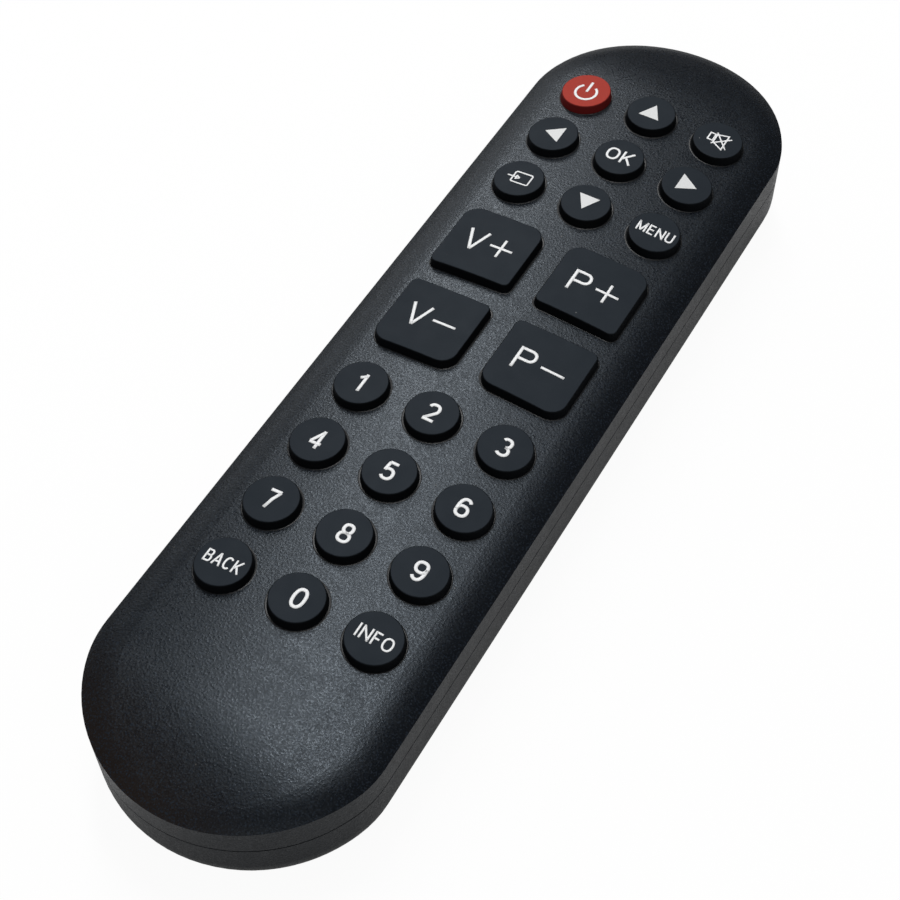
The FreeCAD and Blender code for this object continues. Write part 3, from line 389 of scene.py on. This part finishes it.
def bow(centreX, centreY, radiusX, radiusY, start, end):
    # part of a slightly squared ellipse, as points
    count = max(3, round(abs(end - start) / 360 * 4 * ink["steps"]))
    power = 2 / ink["square"]
    points = []
    for step in range(count + 1):
        turn = math.radians(start + (end - start) * step / count)
        c, s = math.cos(turn), math.sin(turn)
        points.append((centreX + radiusX * math.copysign(abs(c) ** power, c),
                       centreY + radiusY * math.copysign(abs(s) ** power, s)))
    return points


def letterStrokes(letter, foot):
    # centre lines in a box from -1 to 1 across and 0 to 1 up; butt ends reach foot and head
    head = 1 - foot
    strokes = {
        "0": [bow(0, 0.5, 1, 0.5, 90, 450)],
        "1": [[(0.3, foot), (0.3, head)], [(0.3, 0.97), (-0.15, 0.86), (-0.75, 0.76)]],
        "2": [bow(0, 0.72, 0.95, 0.28, 165, -35) + [(-0.85, 0.03)], [(-1.05, 0), (1.1, 0)]],
        "3": [bow(-0.05, 0.755, 0.85, 0.245, 150, -90), bow(-0.05, 0.255, 1, 0.255, 90, -150)],
        "4": [[(0.5, foot), (0.5, head)], [(0.45, 0.98), (-0.98, 0.27)], [(-1.12, 0.24), (1.15, 0.24)]],
        "5": [[(0.9, 1), (-0.72, 1)], [(-0.64, 1), (-0.85, 0.47)], bow(-0.05, 0.31, 1, 0.31, 140, -150)],
        "6": [bow(0, 0.29, 1, 0.29, 90, 450), [(-1, 0.29)] + bow(0, 0.5, 1, 0.5, 180, 40)],
        "7": [[(-1.1, 1), (1.02, 1)], [(0.92, 0.99), (0.15, 0.5), (-0.3, foot)]],
        "8": [bow(0, 0.755, 0.82, 0.245, 90, 450), bow(0, 0.255, 1, 0.255, 90, 450)],
        "9": [bow(0, 0.71, 1, 0.29, 90, 450), [(1, 0.71)] + bow(0, 0.5, 1, 0.5, 0, -140)],
        "A": [[(-1.05, foot), (0, head)], [(0, head), (1.05, foot)], [(-0.62, 0.3), (0.62, 0.3)]],
        "B": [[(-1, foot), (-1, head)], [(-1, 1)] + bow(0.2, 0.765, 0.7, 0.235, 90, -90) + [(-1, 0.53)],
              [(-1, 0.53)] + bow(0.25, 0.265, 0.8, 0.265, 90, -90) + [(-1, 0)]],
        "C": [bow(0, 0.5, 1, 0.5, 42, 318)],
        "E": [[(-1, foot), (-1, head)], [(-1, 1), (1, 1)], [(-1, 0.52), (0.85, 0.52)], [(-1, 0), (1.05, 0)]],
        "F": [[(-1, foot), (-1, head)], [(-1, 1), (1.05, 1)], [(-1, 0.5), (0.8, 0.5)]],
        "I": [[(0, foot), (0, head)]],
        "K": [[(-1, foot), (-1, head)], [(1, head), (-1, 0.3)], [(-0.3, 0.54), (1.1, foot)]],
        "M": [[(-1, foot), (-1, head)], [(1, foot), (1, head)], [(-1, 1), (0, 0)], [(0, 0), (1, 1)]],
        "N": [[(-1, foot), (-1, head)], [(1, foot), (1, head)], [(-1, 1), (1, 0)]],
        "O": [bow(0, 0.5, 1, 0.5, 90, 450)],
        "P": [[(-1, foot), (-1, head)], [(-1, 1)] + bow(0.25, 0.735, 0.75, 0.265, 90, -90) + [(-1, 0.47)]],
        "U": [[(-1, head)] + bow(0, 0.33, 1, 0.33, 180, 360) + [(1, head)]],
        "V": [[(-1, head), (0, foot)], [(0, foot), (1, head)]],
    }
    return strokes[letter]


letterWidths = {"M": 0.86, "E": 0.64, "N": 0.74, "U": 0.72, "B": 0.68, "A": 0.78, "C": 0.74, "K": 0.72,
                "I": 0.2, "F": 0.6, "O": 0.8}
letterGap = 0.14


def letterAt(letter, centreX, baseY, width, height, pen):
    # strokes of one letter, placed, in millimetres
    foot = -pen / 2 / (height - pen)
    across = (width - pen) / 2
    return [[(centreX + x * across, baseY + pen / 2 + y * (height - pen)) for x, y in stroke]
            for stroke in letterStrokes(letter, foot)]


def wordStrokes(word, centreX, centreY, width, height, pen):
    # letters side by side, stretched so that the word is as wide as it is told
    total = sum(letterWidths[letter] for letter in word) + letterGap * (len(word) - 1)
    unit = width / total
    strokes, left = [], centreX - width / 2
    for letter in word:
        wide = letterWidths[letter] * unit
        strokes += letterAt(letter, left + wide / 2, centreY - height / 2, max(wide, pen * 1.001), height, pen)
        left += wide + letterGap * unit
    return strokes


def polyLine(curve, points, loop):              # points in millimetres
    spline = curve.splines.new("POLY")
    spline.points.add(len(points) - 1)
    for point, (x, y) in zip(spline.points, points):
        point.co = (x * mm, y * mm, 0, 1)
    spline.use_cyclic_u = loop


def flatCurve(name):
    curve = bpy.data.curves.new(name, "CURVE")
    curve.dimensions = "2D"
    curve.fill_mode = "NONE"
    return curve


def sweep(name, curve, section):
    # the curve's lines swept by the section's, as a mesh
    curve.bevel_mode, curve.bevel_object = "OBJECT", section
    swept = linked(name, curve)
    choose(swept)
    bpy.ops.object.convert(target="MESH")
    return swept


def drawStrokes(name, strokes, pen):
    # one flat mesh from centre lines swept by a straight pen, in millimetres
    nibLine = flatCurve(name + "Nib")
    polyLine(nibLine, [(-pen / 2, 0), (pen / 2, 0)], False)
    nib = linked(name + "Nib", nibLine)
    curve = flatCurve(name)
    for stroke in strokes:
        loop = len(stroke) > 3 and math.dist(stroke[0], stroke[-1]) < 0.01
        points = stroke[:-1] if loop else stroke
        if len(points) == 2:
            (x0, y0), (x1, y1) = points
            parts = ink["parts"]
            points = [(x0 + (x1 - x0) * n / parts, y0 + (y1 - y0) * n / parts) for n in range(parts + 1)]
        polyLine(curve, points, loop)
    drawn = sweep(name, curve, nib)
    bpy.data.objects.remove(nib)
    return drawn


def fillShape(name, corners):
    # one flat face with these corners, in millimetres, from a circle with as many corners
    deselect()
    bpy.ops.mesh.primitive_circle_add(vertices=len(corners), radius=mm, fill_type="NGON", location=(0, 0, 0))
    shape = bpy.context.object
    for vertex, (x, y) in zip(shape.data.vertices, corners):
        vertex.co = (x * mm, y * mm, 0)
    return shape


def faceUp(piece):
    # turn over the faces that look down
    noFaces(piece)
    for face in piece.data.polygons:
        face.select = face.normal.z < 0
    bpy.ops.object.mode_set(mode="EDIT")
    bpy.ops.mesh.flip_normals()
    bpy.ops.object.mode_set(mode="OBJECT")


def layOnKey(piece, node, material=inkMaterial):
    # drop the flat legend on its key, and give it the thickness of a print
    centre = middle(node)
    piece.location = (centre.x, centre.y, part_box(node)[1].z + ink["above"])
    applyPlace(piece)
    modify(piece, "SHRINKWRAP", target=nodes[node], wrap_method="PROJECT", use_project_z=True,
           use_negative_direction=True, use_positive_direction=False, offset=ink["lift"])
    faceUp(piece)
    modify(piece, "SOLIDIFY", thickness=ink["thickness"], offset=1.0)
    return finishPiece(piece, node.replace("key_", "legend_"), material, node + "_body")


digit = {"width": 2.5, "height": 3.95, "pen": 0.58, "shift": {"0": 0.4, "8": 0.3}}
words = {                                       # word, centre x and y on its key, width, height, pen
    "key_ok": ("OK", 0.0, 0.2, 5.4, 3.2, 0.45),
    "key_menu": ("MENU", 0.25, 0.1, 7.25, 2.42, 0.34),
    "key_back": ("BACK", 0.0, 0.05, 6.9, 2.42, 0.34),
    "key_info": ("INFO", 0.18, 0.05, 6.5, 2.5, 0.34),
}
largeSigns = {"letterWidth": {"V": 4.25, "P": 3.65}, "height": 4.95, "pen": 0.57, "signPen": 0.5, "signLength": 4.5,
              "letterX": {"V": -2.8, "P": -2.55}, "signX": {"V": 2.55, "P": 2.8}}


def digitLegend(figure):
    node = "key_" + figure
    centre = digit["shift"].get(figure, 0)
    strokes = letterAt(figure, centre, -digit["height"] / 2, digit["width"], digit["height"], digit["pen"])
    return layOnKey(drawStrokes("figure", strokes, digit["pen"]), node)


def largeLegend(node, letter, plus):
    s = largeSigns
    strokes = letterAt(letter, s["letterX"][letter], -s["height"] / 2, s["letterWidth"][letter], s["height"],
                       s["pen"])
    x, half = s["signX"][letter], s["signLength"] / 2
    bars = [[(x - half, 0), (x + half, 0)]]
    if plus:
        bars.append([(x, -half), (x, half)])
    sign = drawStrokes("sign", strokes, s["pen"])
    choose(sign, drawStrokes("bars", bars, s["signPen"]))
    bpy.ops.object.join()
    return layOnKey(sign, node)


for figure in "0123456789":
    digitLegend(figure)
for node, (word, x, y, width, height, pen) in words.items():
    layOnKey(drawStrokes("word", wordStrokes(word, x, y, width, height, pen), pen), node)
for node, letter, plus in (("key_volume_up", "V", True), ("key_volume_down", "V", False),
                           ("key_program_up", "P", True), ("key_program_down", "P", False)):
    largeLegend(node, letter, plus)

arrows = {                                      # corners on the key, in millimetres
    "key_up": [(-2.12, -1.38), (2.05, -1.38), (0.05, 2.3)],
    "key_down": [(2.05, 1.77), (-2.1, 1.77), (0, -1.82)],
    "key_left": [(1.6, -1.95), (1.6, 2.33), (-1.87, 0.1)],
    "key_right": [(-1.53, 2.33), (-1.53, -1.95), (2.05, 0.08)],
}
for node, corners in arrows.items():
    layOnKey(fillShape("arrow", corners), node, arrowMaterial)

powerSign = {"radius": 2.1, "centre": (0.12, -0.5), "gap": 36, "bar": (-0.35, 2.6), "pen": 0.52, "steps": 40}


def powerLegend():
    s = powerSign
    x, y = s["centre"]
    ring = []
    for step in range(s["steps"] + 1):
        turn = math.radians(90 + s["gap"] + (360 - 2 * s["gap"]) * step / s["steps"])
        ring.append((x + s["radius"] * math.cos(turn), y + s["radius"] * math.sin(turn)))
    bar = [(x, s["bar"][0]), (x, s["bar"][1])]
    return layOnKey(drawStrokes("power", [ring, bar], s["pen"]), "key_power")


muteSign = {"box": [(-0.8, 1.15), (-1.85, 1.15), (-1.85, -0.7), (-0.8, -0.7), (-0.8, 1.15)],
            "cone": [(-0.55, 1.2), (1.6, 1.95), (1.6, -2.05), (-0.55, -0.95), (-0.55, 1.2)],
            "cross": ([(-0.72, 1.72), (2.32, -1.69)], [(-0.79, -1.46), (2.42, 1.45)]), "pen": 0.29}


def muteLegend():
    strokes = [muteSign["box"], muteSign["cone"], *muteSign["cross"]]
    return layOnKey(drawStrokes("mute", strokes, muteSign["pen"]), "key_mute")


sourceSign = {"left": -1.27, "right": 2.26, "low": -1.33, "high": 1.46, "corner": 0.22,
              "arrow": (-2.46, 0.1), "head": 0.85, "barb": 0.5, "barBehind": 0.1, "barShare": 0.6, "pen": 0.3}


def sourceLegend():
    s = sourceSign
    left, right, low, high, corner = s["left"], s["right"], s["low"], s["high"], s["corner"]
    screen = [(left + corner, high), (right - corner, high), (right, high - corner), (right, low + corner),
              (right - corner, low), (left + corner, low), (left, low + corner), (left, high - corner),
              (left + corner, high)]
    start, end = s["arrow"]
    back, barb = end - s["head"], s["barb"]
    bar, half = back + s["barBehind"], barb * s["barShare"]
    arrow = [[(start, 0), (back, 0)], [(back, barb), (end, 0)], [(end, 0), (back, -barb)], [(bar, half), (bar, -half)]]
    return layOnKey(drawStrokes("source", [screen, *arrow], s["pen"]), "key_source")


powerLegend()
muteLegend()
sourceLegend()
print("legends on the keys")


# a thin eased lip round every key hole, its section drawn outward from the hole's wall, in millimetres

rim = {"gap": 0.2, "section": [(-0.01, -0.12), (-0.01, -0.003), (0.14, 0.03), (0.4, 0.008), (0.44, -0.06)],
       "sides": 72, "smooth": math.radians(15)}
crown = {"top": 20.8, "radius": 175.0}
largeKey = {"outer": 3.35, "inner": 1.6, "steps": 8}
largeNodes = [name for name in keyNodes if "volume" in name or "program" in name]


def largeCorners(node):
    # corner radii of a large key, towards the front end and towards the back end
    front, back = largeKey["outer"], largeKey["inner"]
    return (front, back) if node.endswith("_up") else (back, front)


def largeOutline(node, grow):
    # corner points of a large key's outline, grown all round, in millimetres from its middle
    low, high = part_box(node)
    halfX, halfY = (high.x - low.x) / 2 / mm + grow, (high.y - low.y) / 2 / mm + grow
    front, back = largeCorners(node)
    points = []
    for signX, signY, corner, start in ((1, 1, front, 0), (-1, 1, front, 90), (-1, -1, back, 180), (1, -1, back, 270)):
        radius = corner + grow
        for step in range(largeKey["steps"] + 1):
            turn = math.radians(start + 90 * step / largeKey["steps"])
            points.append((signX * (halfX - radius) + radius * math.cos(turn),
                           signY * (halfY - radius) + radius * math.sin(turn)))
    return points


def roundOutline(node, grow):
    low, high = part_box(node)
    radius = (high.x - low.x) / 2 / mm + grow
    turns = [math.tau * step / rim["sides"] for step in range(rim["sides"])]
    return [(radius * math.cos(turn), radius * math.sin(turn)) for turn in turns]


def layOnCrown(piece):
    # lift a flat piece to the top case's curve
    for vertex in piece.data.vertices:
        across = vertex.co.x / mm
        vertex.co.z += (crown["top"] - crown["radius"] + math.sqrt(crown["radius"] ** 2 - across ** 2)) * mm


def buildRim(node, section):
    outline = largeOutline(node, rim["gap"]) if node in largeNodes else roundOutline(node, rim["gap"])
    curve = flatCurve("rim")
    polyLine(curve, outline, True)
    ring = sweep("rim", curve, section)
    centre = middle(node)
    ring.location = (centre.x, centre.y, 0)
    applyPlace(ring)
    layOnCrown(ring)
    recalcNormals(ring)
    bpy.ops.object.shade_smooth_by_angle(angle=rim["smooth"])
    finishPiece(ring, node.replace("key_", "rim_"), rimMaterial, "case")


rimCurve = flatCurve("section")
polyLine(rimCurve, rim["section"], True)
rimSection = linked("section", rimCurve)
for node in keyNodes:
    buildRim(node, rimSection)
bpy.data.objects.remove(rimSection)
print("rims round", len(keyNodes), "holes")


# keypad mat: a sheet with a well under every key, and a thin sloping web round each key's foot

mat = {"low": 14.8, "top": 15.8, "webTop": 16.8, "corner": 5.7, "foot": 0.85, "wall": 0.45, "well": 0.38,
       "beyond": 1.0, "sides": 64, "cornerSteps": 8, "slack": 0.01 * mm}


def chooseEdges(thing, wanted):
    # edge select mode, with the edges whose two ends pass the test
    choose(thing)
    bpy.ops.object.mode_set(mode="EDIT")
    bpy.ops.mesh.select_mode(type="EDGE")
    bpy.ops.mesh.select_all(action="DESELECT")
    bpy.ops.object.mode_set(mode="OBJECT")
    points = thing.data.vertices
    for edge in thing.data.edges:
        edge.select = wanted(points[edge.vertices[0]].co, points[edge.vertices[1]].co)
    bpy.ops.object.mode_set(mode="EDIT")


def block(low, high):
    deselect()
    bpy.ops.mesh.primitive_cube_add(size=1, location=(low + high) / 2)
    piece = bpy.context.object
    piece.scale = high - low
    return applyPlace(piece)


def roundedBlock(low, high, frontRadius, backRadius):
    # a block whose upright edges are rounded, by one radius at its front and one at its back
    piece = block(low, high)
    centre, half = (low + high) / 2, (high - low) / 2
    for radius, side in ((frontRadius, 1), (backRadius, -1)):
        chooseEdges(piece, lambda a, b: abs(a.z - b.z) > half.z and (a.y - centre.y) * side > 0
                    and abs(abs(a.x - centre.x) - half.x) < mat["slack"]
                    and abs(abs(a.y - centre.y) - half.y) < mat["slack"])
        bpy.ops.mesh.bevel(offset=radius * mm, offset_type="OFFSET", segments=mat["cornerSteps"], affect="EDGES")
        bpy.ops.object.mode_set(mode="OBJECT")
    return piece


def keyBlock(node, grow, low, high):
    # a disc or rounded block under one key, wider than it by grow all round
    a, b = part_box(node)
    if node in largeNodes:
        front, back = largeCorners(node)
        return roundedBlock(Vector((a.x - grow * mm, a.y - grow * mm, low * mm)),
                            Vector((b.x + grow * mm, b.y + grow * mm, high * mm)), front + grow, back + grow)
    deselect()
    bpy.ops.mesh.primitive_cylinder_add(vertices=mat["sides"], radius=(b.x - a.x) / 2 + grow * mm,
                                        depth=(high - low) * mm,
                                        location=((a.x + b.x) / 2, (a.y + b.y) / 2, (low + high) / 2 * mm))
    return applyPlace(bpy.context.object)


def buildSheet():
    low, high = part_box("keypad_mat")
    sheet = roundedBlock(Vector((low.x, low.y, mat["low"] * mm)), Vector((high.x, high.y, mat["top"] * mm)),
                         mat["corner"], mat["corner"])
    wells = [keyBlock(node, mat["well"], mat["low"] - mat["beyond"], mat["top"] + mat["beyond"]) for node in keyNodes]
    cutter = choose(*wells)
    bpy.ops.object.join()
    modify(sheet, "BOOLEAN", object=cutter, operation="DIFFERENCE", solver="EXACT")
    bpy.data.objects.remove(cutter)
    finishPiece(sheet, "mat_sheet", rubberMaterial, "case")
    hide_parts("keypad_mat")


def buildWeb(node):
    # the block's sides, narrowed at the top and given a wall
    web = keyBlock(node, mat["foot"], mat["top"], mat["webTop"])
    low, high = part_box(node)
    centre = middle(node)
    widthX, widthY, foot = high.x - low.x, high.y - low.y, 2 * mat["foot"] * mm
    for vertex in web.data.vertices:
        if vertex.co.z > (mat["top"] + mat["webTop"]) / 2 * mm:
            vertex.co.x = centre.x + (vertex.co.x - centre.x) * widthX / (widthX + foot)
            vertex.co.y = centre.y + (vertex.co.y - centre.y) * widthY / (widthY + foot)
    noFaces(web)
    for face in web.data.polygons:
        face.select = abs(face.normal.z) > 0.99
    bpy.ops.object.mode_set(mode="EDIT")
    bpy.ops.mesh.delete(type="ONLY_FACE")
    bpy.ops.object.mode_set(mode="OBJECT")
    modify(web, "SOLIDIFY", thickness=mat["wall"] * mm, offset=-1.0)
    finishPiece(web, node.replace("key_", "web_"), rubberMaterial, "case")
    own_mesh(web)


buildSheet()
for node in keyNodes:
    buildWeb(node)
print("keypad mat and", len(keyNodes), "webs")


# battery contacts: bent plates, and coils of turned wire

contact = {"wire": 0.6, "wide": 7.6, "narrow": 4.6, "length": 4.6, "turns": 5.0, "flat": 0.75, "steps": 20,
           "plate": 0.4, "plateWidth": 8.4, "plateHeight": 8.0, "tailWidth": 2.4, "axis": 7.2, "spacing": 11.1,
           "bend": 0.12}


def sheetMetal(low, high):                      # a strip with softly bent edges
    return modify(block(low, high), "BEVEL", width=contact["bend"] * mm, segments=2)


def coil(x, start, way):
    # a conical spring from its plate to the cell, its first and last turns lying flat
    c = contact
    curve = bpy.data.curves.new("coil", "CURVE")
    curve.dimensions = "3D"
    curve.bevel_depth, curve.bevel_resolution = c["wire"] / 2 * mm, 2
    curve.use_fill_caps = True
    spline = curve.splines.new("POLY")
    spline.points.add(round(c["steps"] * c["turns"]))
    for step, point in enumerate(spline.points):
        turn = step / c["steps"]
        share = min(max((turn - c["flat"]) / (c["turns"] - 2 * c["flat"]), 0), 1)
        radius = ((c["wide"] - c["wire"]) * (1 - share) + (c["narrow"] - c["wire"]) * share) / 2
        along = c["wire"] / 2 + (c["length"] - c["wire"]) * share
        angle = math.tau * turn
        point.co = (x + radius * math.cos(angle) * mm, start + way * along * mm,
                    c["axis"] * mm + radius * math.sin(angle) * mm, 1)
    wire = choose(linked("coil", curve))
    bpy.ops.object.convert(target="MESH")
    bpy.ops.object.shade_smooth()
    return wire


def buildContacts():
    c = contact
    low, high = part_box("contact_negative")
    half = c["plateWidth"] / 2 * mm
    x, back = c["spacing"] / 2 * mm, high.y - c["plate"] * mm
    plate = sheetMetal(Vector((x - half, back, (c["axis"] - c["plateHeight"] / 2) * mm)),
                       Vector((x + half, high.y, (c["axis"] + c["plateHeight"] / 2) * mm)))
    tail = sheetMetal(Vector((x - c["tailWidth"] / 2 * mm, back, c["axis"] * mm)),
                      Vector((x + c["tailWidth"] / 2 * mm, high.y, high.z)))
    choose(plate, tail)
    bpy.ops.object.join()
    finishPiece(plate, "negative_plate", metalMaterial, "case")
    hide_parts("contact_negative")
    finishPiece(coil(x, back, -1), "negative_coil", metalMaterial, "case")
    low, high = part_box("contact_bridge")
    plate = sheetMetal(low, Vector((high.x, low.y + c["plate"] * mm, high.z)))
    finishPiece(plate, "bridge_plate", metalMaterial, "case")
    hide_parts("contact_bridge")
    finishPiece(coil(-x, low.y + c["plate"] * mm, 1), "bridge_coil", metalMaterial, "case")


buildContacts()
print("contacts with their coils")


# a raised arrow on the battery door, towards the end it slides off

doorArrow = {"y": -58.0, "half": 3.2, "reach": 2.6, "lift": 0.02}


def buildDoorArrow():
    a = doorArrow
    arrow = fillShape("arrow", [(-a["half"], a["y"] + a["reach"] / 2), (0, a["y"] - a["reach"]),
                                (a["half"], a["y"] + a["reach"] / 2)])
    low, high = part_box("battery_door")
    arrow.location.z = low.z
    applyPlace(arrow)
    faceUp(arrow)
    modify(arrow, "SOLIDIFY", thickness=2 * a["lift"] * mm, offset=0.0)
    finishPiece(arrow, "door_arrow", rimMaterial, "door")


buildDoorArrow()
print("door arrow")


# floor, camera, light

floor = {"size": 6.0, "colour": rgba(0.5, 0.5, 0.5), "white": 1.06, "seen": 0.89, "mirrored": 0.1}
sky = {"seen": 1.0, "mirrored": 0.08, "ambient": 0.31}


def buildFloor():
    # paint that takes the shadow, under a white glow that the camera and mirroring surfaces see in part
    deselect()
    bpy.ops.mesh.primitive_plane_add(size=floor["size"], location=(0, 0, 0))
    table = applyPlace(bpy.context.object)
    table.name = "floor"
    f = Finish("floorPale", {"Base Color": floor["colour"], "Roughness": 0.7, "Specular IOR Level": 0.2})
    share = f.raySort("Camera") * floor["seen"] + f.raySort("Glossy", "Transmission") * floor["mirrored"]
    glow = f.add("ShaderNodeEmission", {}, {"Color": rgba(1, 1, 1), "Strength": floor["white"]})
    surface = Wire(f, f.shader.outputs[0])
    blend = f.add("ShaderNodeMixShader", {}, {0: share, 1: surface, 2: glow})
    f.feed(f.nodes["Material Output"], {"Surface": blend})
    table.data.materials.append(f.material)


def buildWorld():
    # white to the camera, paler light on matt faces, a share of the white in what mirrors it
    world = bpy.data.worlds.new("studio")
    bpy.context.scene.world = world
    tree = Tree(world)
    strength = (sky["ambient"] + tree.raySort("Camera") * (sky["seen"] - sky["ambient"])
                + tree.raySort("Glossy", "Transmission") * (sky["mirrored"] - sky["ambient"]))
    tree.feed(tree.nodes["Background"], {"Color": rgba(1, 1, 1), "Strength": strength})


def buildLamp(name, lamp):
    # a rectangular softbox that faces its target, its first side turned along a direction
    deselect()
    bpy.ops.object.light_add(type="AREA", location=lamp["place"])
    light = bpy.context.object
    light.name = name
    light.data.shape, light.data.size, light.data.size_y = "RECTANGLE", *lamp["size"]
    light.data.energy, light.data.color = lamp["watts"], lamp["colour"]
    back = (Vector(lamp["place"]) - Vector(lamp["target"])).normalized()
    along = Vector(lamp["along"])
    side = (along - back * along.dot(back)).normalized()
    light.rotation_euler = Matrix((side, back.cross(side), back)).transposed().to_euler()


lamps = {
    "windowSoft": {"place": (-0.355, 0.514, 0.969), "target": (0, -0.03, 0.02), "along": (-0.623, 0.782, 0),
                   "size": (0.92, 0.15), "watts": 6.4, "colour": (1.0, 1.0, 1.0)},
    "windowSide": {"place": (-0.06, 0.275, 1.1), "target": (0, -0.03, 0.02), "along": (1, 0, 0),
                   "size": (0.3, 0.2), "watts": 1.9, "colour": (1.0, 1.0, 1.0)},
    "edgeLeft": {"place": (-1.0, 0.72, 0.52), "target": (0, 0, 0.02), "along": (0.6, 0.8, 0),
                 "size": (0.7, 0.4), "watts": 1.4, "colour": (1.0, 1.0, 1.0)},
    "fillFront": {"place": (0.55, -0.95, 0.95), "target": (0, 0, 0), "along": (1, 0, 0),
                  "size": (1.1, 0.8), "watts": 3.6, "colour": (1.0, 0.99, 0.97)},
}


cameraFit = {                                   # from the photograph's perspective of the key grid
    "place": (0.0925, -0.16305, 0.2518), "lens": 68.8, "sensor": 36, "nearest": 0.01, "farthest": 20,
    "across": (0.8659, 0.5002, -0.0101), "up": (-0.3984, 0.7017, 0.5907), "back": (0.3026, -0.5074, 0.8068),
}


def buildCamera():
    deselect()
    bpy.ops.object.camera_add(location=(0, 0, 0))
    camera = bpy.context.object
    camera.name = "photoCamera"
    turn = Matrix((cameraFit["across"], cameraFit["up"], cameraFit["back"])).transposed().to_quaternion()
    camera.location = cameraFit["place"]
    camera.rotation_euler = turn.to_euler()
    camera.data.lens, camera.data.sensor_width = cameraFit["lens"], cameraFit["sensor"]
    camera.data.clip_start, camera.data.clip_end = cameraFit["nearest"], cameraFit["farthest"]
    bpy.context.scene.camera = camera


buildFloor()
buildWorld()
for name, lamp in lamps.items():
    buildLamp(name, lamp)
buildCamera()
bpy.context.scene.view_settings.view_transform = "Standard"
print("studio ready")
